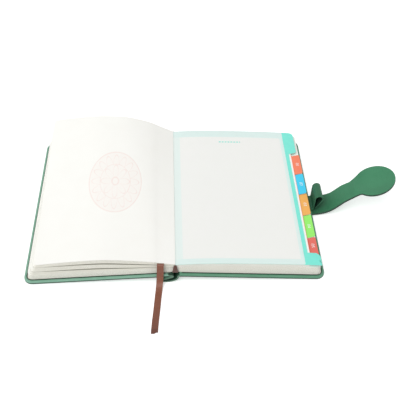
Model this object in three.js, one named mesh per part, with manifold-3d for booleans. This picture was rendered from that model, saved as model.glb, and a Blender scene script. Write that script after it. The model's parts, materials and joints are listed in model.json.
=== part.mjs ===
// An A5 planner lying open on a table: a soft leather case, sewn signatures, index dividers,
// a translucent leaf, a ribbon marker and a magnetic strap with a pen loop.
// Millimetres, +Z up, +Y towards the head of the pages, +X towards the strap.
// The origin is at the centre of the footprint, on the table.

import * as THREE from 'three';
import { mergeVertices } from 'three/addons/utils/BufferGeometryUtils.js';
import Module from 'manifold-3d';

const wasm = await Module();
wasm.setup();

// Leaves and covers
const leafWidth = 145;
const leafHeight = 210;
const leafThickness = 0.25;
const leafCornerRadius = 5;
const coverOverhang = 3;
const coverForeOverhang = 5.2;
const coverCornerRadius = 9;
const coverTilt = THREE.MathUtils.degToRad(3.1);
const leatherThickness = 0.7;
const leatherRim = 3.2;
const boardThickness = 1.5;
const endpaperThickness = 0.2;
const clearance = 0.3;

// Gutter and page blocks
const gutterHeight = 22.5;
const gutterGap = 0.35;
const spineEdgeSlope = 3.2;
const backSignatures = 5;
const frontSignatures = 3;
const frontBlockHeight = 6.6;
const blockRise = 4.4;
const blockRiseLength = 30;
const foreEdgeDroop = 0.9;
const droopLength = 45;
const foreEdgeStep = 0.5;
const sectionSteps = 10;
const gutterCrowding = 1.4;

// Index dividers and the translucent leaf: how far each stays back from a leaf's fore edge
const leavesOverBlock = 7;
const dividerPitch = 0.55;
const vellumSetback = 15.4;
const mintSetback = 11.6;
const mintHeadSetback = 2;
const mintHeadTab = 39.5;
const mintTailTab = 16.5;
const dividerSetback = 8;
const tabProud = 1;
const tabHeight = 32.2;
const tabCornerRadius = 2;
const firstTabHead = 62.5;

// Raised leaves of the front half: three packs of equal share with a gap between them
const raisedSetback = 7.8;
const raisedRows = 18;
const raisedColumns = 10;
const raisedGap = 0.05;
const rowCrowding = 1.15;
const headBulge = 1.2;

// Spine: two strips, each from a hinge line at its cover to the fold, given across and up
const spineLeather = 1.4;
const spineInset = 0.5;
const backHinge = [2.6, 8.2];
const backFold = [-12.8, 1.6];
const frontHinge = [-2.6, 8.6];
const frontFold = [-12.4, 3.7];
const backCoverStart = 3.7;
const frontCoverStart = 6.4;

// Bands at the ends of the spine
const bandWidth = 1.8;
const bandDepth = 0.6;
const bandInset = 1.2;
const bandTopInset = 4;

// Strap and clasp
const strapThickness = 2;
const strapWidth = 29;
const neckWidth = 25;
const strapCentreY = -3;
const kneeGap = 0.42;
const liningThickness = 0.6;
const discRadius = 22;
const discSlope = THREE.MathUtils.degToRad(16);
const neckInDisc = 4.8;
const neckBlend = 8;
const magnetRadius = 6;
const magnetThickness = 0.55;
const claspPlateRadius = 7;
const claspSetback = 19.8;

// Pen loop: a flange on the endpaper and a teardrop that stands on the cover's fore edge
const loopLength = 22;
const loopHeight = 21.5;
const loopRadius = 4.3;
const loopWall = 1;
const loopLean = THREE.MathUtils.degToRad(15);
const loopCentreY = -2;
const loopOffset = 0.45;
const loopFootHalf = 0.55;
const loopBaseRise = 4;
const loopShoulder = 7;
const boreFootHalf = 0.15;
const boreBase = 4.5;
const flangeReach = 3;
const flangeThickness = 0.7;
const loopSink = 0.14;

// Ribbon
const ribbonWidth = 6;
const ribbonThickness = 0.3;
const ribbonSteps = 44;

const coverReach = leafWidth + coverForeOverhang;
const tabReach = leafWidth + tabProud;
const mintWidth = leafWidth - mintSetback;
const mintHeadReach = leafWidth - mintHeadSetback;
const vellumWidth = leafWidth - vellumSetback;
const dividerWidth = leafWidth - dividerSetback;
const raisedReach = leafWidth - raisedSetback;
const claspPlaceU = coverReach - claspSetback;
const spineLength = leafHeight + 2 * (coverOverhang - spineInset);
const coverThickness = leatherThickness + boardThickness + endpaperThickness + 2 * clearance;
const blockFloor = coverThickness + clearance;
const crownHeight = coverReach * Math.sin(coverTilt);
const hingeW = (gutterHeight - crownHeight) * Math.cos(coverTilt);
const halfLeaf = leafHeight / 2;

// Finishes
const leatherRoughness = 0.6;
const paperRoughness = 0.9;
const plainRoughness = 0.8;
const vellumRoughness = 0.5;
const satinRoughness = 0.5;
const steelRoughness = 0.4;
const steelMetalness = 0.9;
const coarseArc = 8;
const fineArc = 16;
const roundArc = 32;
const colours = {
  leather: 0x2f7a5a, board: 0x8c8478, paper: 0xf6f3ea, vellum: 0xeef3ec, mint: 0x88f0de,
  coral: 0xfd825f, blue: 0x4bd2fa, orange: 0xfaaf5a, green: 0x96f06e, red: 0xf07369,
  band: 0x7a4a38, ribbon: 0x875a46, steel: 0xb4b8bc, lining: 0x3f8d69,
};

const planner = new THREE.Group();
const backHalf = new THREE.Group();
backHalf.position.z = crownHeight;
backHalf.rotation.y = coverTilt;
const frontHalf = new THREE.Group();
frontHalf.position.z = crownHeight;
frontHalf.rotation.y = -coverTilt;
const strapSide = new THREE.Group();
strapSide.position.x = coverReach;
planner.add(backHalf, frontHalf, strapSide);

function addNode(parent, name, geometry, colour, roughness = plainRoughness, metalness = 0) {
  const material = new THREE.MeshStandardMaterial({ color: colour, roughness, metalness });
  const mesh = new THREE.Mesh(geometry, material);
  mesh.name = name;
  parent.add(mesh);
  return mesh;
}

function solidOf(geometry) {
  const bare = geometry.clone();
  bare.deleteAttribute('normal');
  bare.deleteAttribute('uv');
  const merged = mergeVertices(bare, 1e-4);
  return new wasm.Manifold(new wasm.Mesh({
    numProp: 3,
    vertProperties: new Float32Array(merged.attributes.position.array),
    triVerts: new Uint32Array(merged.index.array),
  }));
}

function geometryOf(solid) {
  const mesh = solid.getMesh();
  const geometry = new THREE.BufferGeometry();
  geometry.setAttribute('position', new THREE.BufferAttribute(new Float32Array(mesh.vertProperties), 3));
  geometry.setIndex(new THREE.BufferAttribute(new Uint32Array(mesh.triVerts), 1));
  return geometry;
}

// A flat plate: an outline in the plane of the cover, thick upwards from w.
function plate(outline, w, thickness, curveSegments = 6) {
  const options = { depth: thickness, bevelEnabled: false, curveSegments };
  return new THREE.ExtrudeGeometry(outline, options).translate(0, 0, w);
}

// A section in the plane across the spine, long in Y and centred on centreY.
function prism(section, length, centreY = 0, curveSegments = 6) {
  const options = { depth: length, bevelEnabled: false, curveSegments };
  const geometry = new THREE.ExtrudeGeometry(section, options);
  return geometry.rotateX(Math.PI / 2).translate(0, centreY + length / 2, 0);
}

// A page or cover outline from the spine to the fore edge, with two rounded corners.
// side is 1 for the back half and -1 for the front half.
function pageOutline(side, start, reach, half, radius) {
  const shape = new THREE.Shape();
  shape.moveTo(side * start, -half);
  shape.lineTo(side * (reach - radius), -half);
  shape.quadraticCurveTo(side * reach, -half, side * reach, -half + radius);
  shape.lineTo(side * reach, half - radius);
  shape.quadraticCurveTo(side * reach, half, side * (reach - radius), half);
  shape.lineTo(side * start, half);
  shape.closePath();
  return shape;
}

// Where the slanted spine edge of a page block stands at height w, in the cover's own frame.
function innerEdge(w) {
  const share = (w - blockFloor) / (hingeW - blockFloor);
  const across = spineEdgeSlope + (gutterGap - spineEdgeSlope) * share;
  return (across - w * Math.sin(coverTilt)) / Math.cos(coverTilt);
}

// The top of the back half, over its index dividers.
function backTop(u) {
  const droop = Math.max(0, u - leafWidth + droopLength) / droopLength;
  const rise = blockRise * (1 - Math.exp(-Math.max(0, u) / blockRiseLength));
  return hingeW - clearance + rise - foreEdgeDroop * droop * droop;
}

function backBlockTop(u) {
  return backTop(u) - leavesOverBlock * dividerPitch;
}

function frontBlockTop(u) {
  const dip = foreEdgeDroop * Math.exp(-Math.max(0, u) / blockRiseLength);
  return blockFloor + frontBlockHeight - dip;
}

// One face of a layer of paper: points from the spine to the fore edge at a height set by u.
function layerEdge(side, height, reach) {
  const start = innerEdge(height(0));
  const points = [];
  for (let i = 0; i <= sectionSteps; i += 1) {
    const u = start + (reach - start) * (i / sectionSteps) ** gutterCrowding;
    points.push(new THREE.Vector2(side * u, height(u)));
  }
  return points;
}

function layerSection(side, low, high, reach) {
  const under = layerEdge(side, low, reach);
  const over = layerEdge(side, high, reach).reverse();
  return new THREE.Shape([...under, ...over]);
}

function trimmedLayer(side, low, high, reach, outline, length = leafHeight) {
  const layer = solidOf(prism(layerSection(side, low, high, reach), length));
  const cutter = solidOf(plate(outline, 0, 3 * gutterHeight));
  return geometryOf(layer.intersect(cutter));
}

// The cover's outline, moved in by inset on all four sides.
function coverOutline(side, start, inset) {
  const coverHalf = halfLeaf + coverOverhang;
  return pageOutline(side, start + inset, coverReach - inset, coverHalf - inset, coverCornerRadius - inset);
}

function addCover(half, side, start, prefix) {
  const blank = solidOf(plate(coverOutline(side, start, 0), 0, coverThickness));
  const pocket = plate(coverOutline(side, start, leatherRim), leatherThickness, coverThickness);
  const tray = blank.subtract(solidOf(pocket));
  addNode(half, `${prefix}_cover_leather`, geometryOf(tray), colours.leather, leatherRoughness);

  const margin = leatherRim + clearance;
  const board = coverOutline(side, start, margin);
  if (side < 0) {
    const hole = new THREE.Path();
    hole.absarc(side * claspPlaceU, strapCentreY, claspPlateRadius + clearance, 0, 2 * Math.PI, false);
    board.holes.push(hole);
  }
  const boardW = leatherThickness + clearance;
  const boardPlate = plate(board, boardW, boardThickness, coarseArc);
  addNode(half, `${prefix}_cover_board`, boardPlate, colours.board, paperRoughness);

  const paperW = boardW + boardThickness + clearance;
  const paper = plate(coverOutline(side, start, margin), paperW, endpaperThickness);
  addNode(half, `${prefix}_endpaper`, paper, colours.paper, paperRoughness);
}

// The steel disc inside the front cover that the strap's magnet holds on to.
function addClaspPlate() {
  const disc = new THREE.Shape();
  disc.absarc(-claspPlaceU, strapCentreY, claspPlateRadius, 0, 2 * Math.PI, false);
  const w = leatherThickness + clearance;
  const steelPlate = plate(disc, w, boardThickness, fineArc);
  addNode(frontHalf, 'clasp_plate', steelPlate, colours.steel, steelRoughness, steelMetalness);
}

function addSignatures(half, side, count, top, prefix) {
  for (let i = 0; i < count; i += 1) {
    const low = (u) => blockFloor + (top(u) - blockFloor) * (i / count) + (i > 0 ? clearance / 2 : 0);
    const high = (u) => blockFloor + (top(u) - blockFloor) * ((i + 1) / count) - clearance / 2;
    const reach = leafWidth + 1 - foreEdgeStep * i;
    const outline = pageOutline(side, -leafWidth, reach, halfLeaf, leafCornerRadius);
    addNode(half, `${prefix}_signature_${i + 1}`, trimmedLayer(side, low, high, reach, outline),
      colours.paper, paperRoughness);
  }
}

// A single leaf that follows the top of the back half, level places below it.
function dividerGeometry(level, outline, reach) {
  const high = (u) => backTop(u) - level * dividerPitch;
  const low = (u) => high(u) - leafThickness;
  return trimmedLayer(1, low, high, reach, outline);
}

// A divider's outline: a plain leaf with one tab that stands out at the fore edge.
function tabbedOutline(width, reach, tailY, headY) {
  const r = tabCornerRadius;
  const shape = new THREE.Shape();
  shape.moveTo(-leafWidth, -halfLeaf);
  if (tailY <= -halfLeaf) {
    shape.lineTo(reach - r, -halfLeaf);
    shape.quadraticCurveTo(reach, -halfLeaf, reach, -halfLeaf + r);
  } else {
    shape.lineTo(width, -halfLeaf);
    shape.lineTo(width, tailY);
    shape.lineTo(reach - r, tailY);
    shape.quadraticCurveTo(reach, tailY, reach, tailY + r);
  }
  if (headY >= halfLeaf) {
    shape.lineTo(reach, halfLeaf - leafCornerRadius);
    shape.quadraticCurveTo(reach, halfLeaf, reach - leafCornerRadius, halfLeaf);
  } else {
    shape.lineTo(reach, headY - r);
    shape.quadraticCurveTo(reach, headY, reach - r, headY);
    shape.lineTo(width, headY);
    shape.lineTo(width, halfLeaf);
  }
  shape.lineTo(-leafWidth, halfLeaf);
  shape.closePath();
  return shape;
}

// The mint divider has one tab at the head and one at the tail.
function mintOutline() {
  const r = tabCornerRadius;
  const tailEnd = -halfLeaf + mintTailTab;
  const headEnd = halfLeaf - mintHeadTab;
  const shape = new THREE.Shape();
  shape.moveTo(-leafWidth, -halfLeaf);
  shape.lineTo(leafWidth - r, -halfLeaf);
  shape.quadraticCurveTo(leafWidth, -halfLeaf, leafWidth, -halfLeaf + r);
  shape.lineTo(leafWidth, tailEnd);
  shape.lineTo(mintWidth, tailEnd + r);
  shape.lineTo(mintWidth, headEnd);
  shape.lineTo(mintHeadReach - r, headEnd);
  shape.quadraticCurveTo(mintHeadReach, headEnd, mintHeadReach, headEnd + r);
  shape.lineTo(mintHeadReach, halfLeaf - leafCornerRadius);
  shape.quadraticCurveTo(mintHeadReach, halfLeaf, mintHeadReach - leafCornerRadius, halfLeaf);
  shape.lineTo(-leafWidth, halfLeaf);
  shape.closePath();
  return shape;
}

function addDividers() {
  const vellum = pageOutline(1, -leafWidth, vellumWidth, halfLeaf, tabCornerRadius);
  addNode(backHalf, 'vellum_leaf', dividerGeometry(0, vellum, vellumWidth), colours.vellum, vellumRoughness);
  addNode(backHalf, 'mint_divider', dividerGeometry(1, mintOutline(), leafWidth), colours.mint);
  ['coral', 'blue', 'orange', 'green', 'red'].forEach((name, i) => {
    const head = firstTabHead - i * tabHeight;
    const tail = Math.max(head - tabHeight, -halfLeaf + mintTailTab - clearance);
    const outline = tabbedOutline(dividerWidth, tabReach, tail, head);
    addNode(backHalf, `${name}_divider`, dividerGeometry(2 + i, outline, tabReach), colours[name]);
  });
}

// The rise of the raised leaves at the tail and at the head: [share of their reach, height].
const tailRise = [[0, 0], [0.11, 2.6], [0.18, 4.5], [0.45, 8.1], [0.6, 7.9], [0.81, 5.3], [1, 2.3]];
const headRise = [[0, 0], [0.11, 7.7], [0.2, 14.2], [0.365, 21.3], [0.495, 23.2], [0.64, 23.6],
  [0.76, 22], [0.94, 19], [1, 16.8]];

function riseCurve(rise) {
  return new THREE.SplineCurve(rise.map(([share, up]) => new THREE.Vector2(share * raisedReach, up)));
}

// A point of the raised stack: along from the gutter to the fore edge, up from the sewn block
// (0) to the top leaf (1), and head from the tail (0) to the head (1).
function raisedPoint(along, up, head, drop) {
  const tailPoint = riseCurve(tailRise).getPoint(along);
  const headPoint = riseCurve(headRise).getPoint(along);
  const share = head ** headBulge;
  const across = gutterGap + tailPoint.x + (headPoint.x - tailPoint.x) * share;
  const top = gutterHeight - clearance / 2 + tailPoint.y + (headPoint.y - tailPoint.y) * share;
  const u = innerEdge(frontBlockTop(0)) + (leafWidth - 1 - innerEdge(frontBlockTop(0))) * along;
  const w = frontBlockTop(u) + clearance;
  const baseX = u * Math.cos(coverTilt) + w * Math.sin(coverTilt);
  const baseZ = crownHeight - u * Math.sin(coverTilt) + w * Math.cos(coverTilt);
  return new THREE.Vector3(
    -(baseX + (across - baseX) * up),
    -halfLeaf + leafHeight * head,
    baseZ + (top - baseZ) * up - drop,
  );
}

// A closed sheet of raised leaves between two levels of the stack.
function raisedGeometry(low, high) {
  const positions = [];
  const index = [];
  const rows = raisedRows + 1;
  const columns = raisedColumns + 1;
  [low, high].forEach(([up, drop]) => {
    for (let i = 0; i < rows; i += 1) {
      for (let j = 0; j < columns; j += 1) {
        const p = raisedPoint((i / raisedRows) ** rowCrowding, up, j / raisedColumns, drop);
        positions.push(p.x, p.y, p.z);
      }
    }
  });
  const at = (layer, i, j) => layer * rows * columns + i * columns + j;
  const quad = (a, b, c, d) => index.push(a, b, c, a, c, d);
  for (let i = 0; i < raisedRows; i += 1) {
    for (let j = 0; j < raisedColumns; j += 1) {
      quad(at(1, i, j), at(1, i, j + 1), at(1, i + 1, j + 1), at(1, i + 1, j));
      quad(at(0, i, j), at(0, i + 1, j), at(0, i + 1, j + 1), at(0, i, j + 1));
    }
    quad(at(0, i, 0), at(1, i, 0), at(1, i + 1, 0), at(0, i + 1, 0));
    quad(at(0, i + 1, raisedColumns), at(1, i + 1, raisedColumns), at(1, i, raisedColumns),
      at(0, i, raisedColumns));
  }
  for (let j = 0; j < raisedColumns; j += 1) {
    quad(at(0, 0, j + 1), at(1, 0, j + 1), at(1, 0, j), at(0, 0, j));
    quad(at(0, raisedRows, j), at(1, raisedRows, j), at(1, raisedRows, j + 1), at(0, raisedRows, j + 1));
  }
  const geometry = new THREE.BufferGeometry();
  geometry.setAttribute('position', new THREE.Float32BufferAttribute(positions, 3));
  geometry.setIndex(index);
  return geometry;
}

// Rounds the two fore-edge corners of a raised sheet that ends at reach.
function roundedRaised(low, high, reach) {
  const sheet = solidOf(raisedGeometry(low, high));
  const outline = pageOutline(-1, -leafWidth, reach, halfLeaf, leafCornerRadius);
  return geometryOf(sheet.intersect(solidOf(plate(outline, 0, 3 * gutterHeight))));
}

function addRaisedLeaves() {
  const underTop = leafThickness + clearance;
  const share = (1 - 2 * raisedGap) / 3;
  const middle = share + raisedGap;
  const levels = [
    ['raised_leaves_lower', [0, 0], [share, 0]],
    ['raised_leaves_middle', [middle, 0], [middle + share, 0]],
    ['raised_leaves_upper', [1 - share, 0], [1, underTop]],
    ['front_top_leaf', [1, leafThickness], [1, 0]],
  ];
  levels.forEach(([name, low, high]) => {
    const reach = leafWidth - (leafWidth - raisedReach) * high[0] + gutterGap;
    addNode(planner, name, roundedRaised(low, high, reach), colours.paper, paperRoughness);
  });
}

// A round-ended strip of spine leather between two points of the section across the spine.
function spineStrip([ax, az], [bx, bz]) {
  const r = spineLeather / 2;
  const angle = Math.atan2(bz - az, bx - ax);
  const section = new THREE.Shape();
  section.absarc(bx, bz, r, angle - Math.PI / 2, angle + Math.PI / 2, false);
  section.absarc(ax, az, r, angle + Math.PI / 2, angle + 1.5 * Math.PI, false);
  section.closePath();
  return prism(section, spineLength, 0, 5);
}

function addSpine() {
  addNode(planner, 'spine_leather_back', spineStrip(backHinge, backFold), colours.leather, leatherRoughness);
  const frontStrip = spineStrip(frontHinge, frontFold);
  addNode(planner, 'spine_leather_front', frontStrip, colours.leather, leatherRoughness);
}

// The sewn band at one end of one page block, along its slanted spine edge.
function bandGeometry(side, end) {
  const low = blockFloor + bandInset;
  const high = hingeW - bandTopInset;
  const section = new THREE.Shape([
    new THREE.Vector2(side * innerEdge(low), low),
    new THREE.Vector2(side * (innerEdge(low) + bandWidth), low),
    new THREE.Vector2(side * (innerEdge(high) + bandWidth), high),
    new THREE.Vector2(side * innerEdge(high), high),
  ]);
  return prism(section, bandDepth, end * (halfLeaf + clearance + bandDepth / 2));
}

function addBands() {
  [[backHalf, 1, 'back'], [frontHalf, -1, 'front']].forEach(([half, side, word]) => {
    addNode(half, `head_band_${word}`, bandGeometry(side, 1), colours.band);
    addNode(half, `tail_band_${word}`, bandGeometry(side, -1), colours.band);
  });
}

// The strap's upper face, seen from the tail: across from the cover's edge, and up.
const strapStart = [1.6, coverThickness];
const strapKnee = [32.6, 20.9];
const neckEnd = [49.7, 31.9];
const rootRun = [strapStart, [7.8, 3.7], [13.8, 5.6], [18.8, 8.1], [23.8, 12.1], [28.4, 16.7], strapKnee];
const neckBends = [[37.6, 24.6], [42.8, 27.9]];

function strapSection(run, from, to) {
  const curve = new THREE.SplineCurve(run.map(([x, z]) => new THREE.Vector2(x, z)));
  const steps = 2 * run.length;
  const upper = [];
  const lower = [];
  for (let i = 0; i <= steps; i += 1) {
    const p = curve.getPoint(i / steps);
    const tangent = curve.getTangent(i / steps);
    const normal = new THREE.Vector2(-tangent.y, tangent.x);
    upper.push(p.clone().addScaledVector(normal, -from));
    lower.push(p.clone().addScaledVector(normal, -to));
  }
  return new THREE.Shape([...lower, ...upper.reverse()]);
}

// A point of the flat end of the strap, a distance across from the neck's end.
function onDiscPlane(distance) {
  return [neckEnd[0] + distance, neckEnd[1] + distance * Math.tan(discSlope)];
}

function discCentre() {
  return neckEnd[0] + (discRadius - neckInDisc) * Math.cos(discSlope);
}

function neckRun() {
  const start = [strapKnee[0] + kneeGap, strapKnee[1] + kneeGap];
  const reach = discCentre() - neckEnd[0] + discRadius;
  return [start, ...neckBends, neckEnd, onDiscPlane(neckBlend), onDiscPlane(reach)];
}

// The strap's end seen from above: a neck that narrows from the strap's width and runs into a disc.
function strapEndOutline() {
  const half = strapWidth / 2;
  const neckHalf = neckWidth / 2;
  const foreshortened = discRadius * Math.cos(discSlope);
  const shape = new THREE.Shape();
  const meet = Math.PI - Math.asin(neckHalf / discRadius);
  shape.moveTo(strapKnee[0], strapCentreY - half);
  shape.lineTo(discCentre() + foreshortened * Math.cos(meet), strapCentreY - neckHalf);
  shape.absellipse(discCentre(), strapCentreY, foreshortened, discRadius, -meet, meet, false);
  shape.lineTo(strapKnee[0], strapCentreY + half);
  shape.closePath();
  return shape;
}

function strapEndLayer(from, to) {
  const layer = solidOf(prism(strapSection(neckRun(), from, to), 2 * discRadius, strapCentreY));
  return layer.intersect(solidOf(plate(strapEndOutline(), 0, 3 * gutterHeight, fineArc)));
}

// A disc in the plane of the strap's end, its upper face depth below the strap's upper face.
function inDisc(radius, depth, thickness) {
  const disc = new THREE.CylinderGeometry(radius, radius, thickness, roundArc);
  disc.rotateX(Math.PI / 2).translate(0, 0, -depth - thickness / 2).rotateY(-discSlope);
  const [across, up] = onDiscPlane(discCentre() - neckEnd[0]);
  return disc.translate(across, strapCentreY, up);
}

function addStrap() {
  const rootSection = strapSection(rootRun, 0, strapThickness);
  const root = prism(rootSection, strapWidth, strapCentreY);
  addNode(strapSide, 'strap_root', root, colours.leather, leatherRoughness);

  const seam = liningThickness + clearance;
  const pocket = inDisc(magnetRadius + clearance, liningThickness, magnetThickness + 2 * clearance);
  const outer = strapEndLayer(seam, strapThickness + clearance).subtract(solidOf(pocket));
  addNode(strapSide, 'strap_end_leather', geometryOf(outer), colours.leather, leatherRoughness);
  const lining = geometryOf(strapEndLayer(0, liningThickness));
  addNode(strapSide, 'strap_end_lining', lining, colours.lining, leatherRoughness);
  const magnet = inDisc(magnetRadius, seam, magnetThickness);
  addNode(strapSide, 'clasp_magnet', magnet, colours.steel, steelRoughness, steelMetalness);
}

// A teardrop loop of leather that stands on the fore edge of the back cover.
function loopOutline(radius, foot, base) {
  const shape = new THREE.Shape();
  const centre = loopHeight - loopRadius;
  const swell = foot + loopFootHalf;
  shape.moveTo(foot, base);
  shape.bezierCurveTo(swell, base + loopBaseRise, radius, centre - loopShoulder, radius, centre);
  shape.absarc(0, centre, radius, 0, Math.PI, false);
  shape.bezierCurveTo(-radius, centre - loopShoulder, -swell, base + loopBaseRise, -foot, base);
  shape.closePath();
  return shape;
}

function addPenLoop() {
  const low = coverThickness + clearance;
  const high = low + flangeThickness;
  const ring = solidOf(prism(loopOutline(loopRadius, loopFootHalf, 0), loopLength));
  const bore = solidOf(prism(loopOutline(loopRadius - loopWall, boreFootHalf, boreBase), 2 * loopLength));
  const loop = geometryOf(ring.subtract(bore)).rotateY(loopLean);
  loop.translate(loopOffset, loopCentreY, low + loopSink);
  const flange = new THREE.Shape([
    new THREE.Vector2(-flangeReach, low), new THREE.Vector2(2 * loopOffset, low),
    new THREE.Vector2(2 * loopOffset, high), new THREE.Vector2(-flangeReach, high),
  ]);
  const whole = solidOf(loop).add(solidOf(prism(flange, loopLength, loopCentreY)));
  addNode(strapSide, 'pen_loop', geometryOf(whole), colours.leather, leatherRoughness);
}

// The ribbon's route, from under the top leaf, over the tail of the block and out on the table.
const ribbonRoute = [
  [-14.4, -105.3, 24.6], [-14.4, -106.4, 24.4], [-14.5, -107.5, 23.5], [-14.6, -108.5, 21.8],
  [-14.7, -109.2, 19.2], [-14.8, -109.6, 16], [-15, -110, 12.4], [-15.2, -110.8, 8.6],
  [-15.5, -112.6, 5], [-15.9, -115.8, 2.4], [-16.3, -120, 1], [-16.8, -125, 0.55],
  [-17.4, -132, 0.45], [-18, -140, 0.45], [-18.7, -148, 0.45], [-19.4, -156, 0.45],
  [-20, -164, 0.45], [-20.4, -171, 0.45],
];

function addRibbon() {
  const curve = new THREE.CatmullRomCurve3(ribbonRoute.map(([x, y, z]) => new THREE.Vector3(x, y, z)));
  const positions = [];
  const index = [];
  const side = new THREE.Vector3(1, 0, 0);
  for (let i = 0; i <= ribbonSteps; i += 1) {
    const p = curve.getPointAt(i / ribbonSteps);
    const tangent = curve.getTangentAt(i / ribbonSteps);
    const across = side.clone().addScaledVector(tangent, -side.dot(tangent)).normalize();
    const normal = new THREE.Vector3().crossVectors(tangent, across);
    [[-1, -1], [1, -1], [1, 1], [-1, 1]].forEach(([a, n]) => {
      const corner = p.clone().addScaledVector(across, a * ribbonWidth / 2)
        .addScaledVector(normal, n * ribbonThickness / 2);
      positions.push(corner.x, corner.y, corner.z);
    });
  }
  for (let i = 0; i < ribbonSteps; i += 1) {
    for (let k = 0; k < 4; k += 1) {
      const a = 4 * i + k;
      const b = 4 * i + ((k + 1) % 4);
      index.push(a, b, b + 4, a, b + 4, a + 4);
    }
  }
  const last = 4 * ribbonSteps;
  index.push(0, 2, 1, 0, 3, 2, last, last + 1, last + 2, last, last + 2, last + 3);
  const geometry = new THREE.BufferGeometry();
  geometry.setAttribute('position', new THREE.Float32BufferAttribute(positions, 3));
  geometry.setIndex(index);
  return addNode(planner, 'ribbon', geometry, colours.ribbon, satinRoughness);
}

addCover(backHalf, 1, backCoverStart, 'back');
addCover(frontHalf, -1, frontCoverStart, 'front');
addClaspPlate();
addSignatures(backHalf, 1, backSignatures, backBlockTop, 'back');
addSignatures(frontHalf, -1, frontSignatures, frontBlockTop, 'front');
addDividers();
addRaisedLeaves();
addSpine();
addBands();
addStrap();
addPenLoop();

planner.updateMatrixWorld(true);
const footprint = new THREE.Box3().setFromObject(planner);
addRibbon();
planner.position.x = -(footprint.min.x + footprint.max.x) / 2;

export default planner;
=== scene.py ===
# %% [markdown]
# # An open paper planner
# The planner lies open on a table: a soft leather case, two paper blocks, coloured index
# dividers under a translucent leaf, a ribbon marker and a strap that folds over and clasps.
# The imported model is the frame: it fixes the sizes and the joints. This lesson dresses it, one
# piece at a time, with the tools that a person would use by hand.

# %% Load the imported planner
import json
import math

import bmesh
import bpy
from mathutils import Matrix, Vector


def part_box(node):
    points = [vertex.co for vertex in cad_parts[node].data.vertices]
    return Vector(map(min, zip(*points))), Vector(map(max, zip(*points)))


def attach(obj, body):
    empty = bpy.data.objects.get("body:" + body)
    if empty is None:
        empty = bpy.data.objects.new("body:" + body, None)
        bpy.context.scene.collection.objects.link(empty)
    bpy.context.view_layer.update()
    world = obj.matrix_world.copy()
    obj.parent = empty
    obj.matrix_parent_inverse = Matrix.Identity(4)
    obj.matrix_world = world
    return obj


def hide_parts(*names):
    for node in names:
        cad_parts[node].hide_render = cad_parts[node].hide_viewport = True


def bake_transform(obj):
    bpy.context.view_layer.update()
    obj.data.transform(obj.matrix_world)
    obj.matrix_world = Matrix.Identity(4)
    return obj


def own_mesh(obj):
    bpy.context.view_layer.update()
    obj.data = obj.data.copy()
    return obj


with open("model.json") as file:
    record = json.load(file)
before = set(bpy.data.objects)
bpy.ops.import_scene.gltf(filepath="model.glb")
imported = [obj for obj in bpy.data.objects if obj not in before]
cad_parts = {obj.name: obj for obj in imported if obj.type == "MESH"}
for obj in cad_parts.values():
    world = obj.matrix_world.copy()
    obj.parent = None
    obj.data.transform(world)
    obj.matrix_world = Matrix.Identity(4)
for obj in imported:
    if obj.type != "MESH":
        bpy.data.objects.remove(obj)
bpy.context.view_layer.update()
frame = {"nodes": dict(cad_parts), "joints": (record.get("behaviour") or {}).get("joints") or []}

MM = 0.001

# %% [markdown]
# ## The frame's own measures
# The two halves hang on one gutter line, which is the closing joint's place. Each cover leans
# down from it by the same small angle. A page is easiest to model flat, with X running from the
# gutter to the fore edge and Z up from the cover's underside, and is leaned into place last.

# %% Sizes shared by all pieces
closing = next(j for j in frame["joints"] if j["name"] == "front_cover_close")
GUTTER_X = closing["pos_m"][0]
GUTTER_HEIGHT = closing["pos_m"][2]
LEAN = math.radians(3.1)
COVER_REACH = 150.2 * MM
CROWN = COVER_REACH * math.sin(LEAN)
COVER_THICKNESS = 3 * MM
BLOCK_FLOOR = 3.3 * MM
BLOCK_HEIGHT = 14.3563 * MM
LEAF_REACH = 145 * MM
HALF_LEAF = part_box("front_top_leaf")[1].y
HALF_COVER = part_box("back_cover_leather")[1].y
HALF_NAME = {1: "back", -1: "front"}
HALF_BODY = {1: "back_cover", -1: "front_half"}
print("gutter at x", round(GUTTER_X, 4), "leaf half height", round(HALF_LEAF, 4))

# %% [markdown]
# ## Camera
# The photograph looks down at the book from the tail, a little from the left and slightly
# turned. The lens and the place were solved from the corners of the pages, so a piece that has
# its real size and place lands where the photograph has it.

# %% Camera
CAMERA_PLACE = Vector((GUTTER_X - 1.625 * MM, -585.844 * MM, 565.407 * MM))
CAMERA_TURN = math.radians(2.922)
CAMERA_DIP = math.radians(43.471)
CAMERA_ROLL = math.radians(1.2226)
SENSOR_WIDTH = 36
FOCAL_SHARE = 738.52 / 400
bpy.ops.object.camera_add()
camera = bpy.context.object
camera.data.sensor_width = SENSOR_WIDTH
camera.data.lens = SENSOR_WIDTH * FOCAL_SHARE
camera.matrix_world = (
    Matrix.Translation(CAMERA_PLACE)
    @ Matrix.Rotation(-CAMERA_TURN, 4, "Z")
    @ Matrix.Rotation(math.pi / 2 - CAMERA_DIP, 4, "X")
    @ Matrix.Rotation(CAMERA_ROLL, 4, "Z"))
bpy.context.scene.camera = camera
print("camera lens", round(camera.data.lens, 2), "mm")

# %% [markdown]
# ## Modelling helpers
# An operator acts on what is selected. So each step picks its vertices, edges or faces by where
# they are, just as a hand would click them, and then calls the operator.

# %% Pick parts of the mesh in edit mode
NEAR = 0.1 * MM
TOUCH = 0.001 * MM


def pick(test, kind="VERT"):
    """Selects the vertices, edges or faces whose middle passes the test."""
    bpy.ops.mesh.select_mode(type=kind)
    bpy.ops.mesh.select_all(action="DESELECT")
    mesh = bmesh.from_edit_mesh(bpy.context.object.data)
    for part in {"VERT": mesh.verts, "EDGE": mesh.edges, "FACE": mesh.faces}[kind]:
        if kind == "VERT":
            middle = part.co
        elif kind == "EDGE":
            middle = (part.verts[0].co + part.verts[1].co) / 2
        else:
            middle = part.calc_center_median()
        if test(middle):
            part.select_set(True)
    mesh.select_flush_mode()
    bmesh.update_edit_mesh(bpy.context.object.data)


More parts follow.
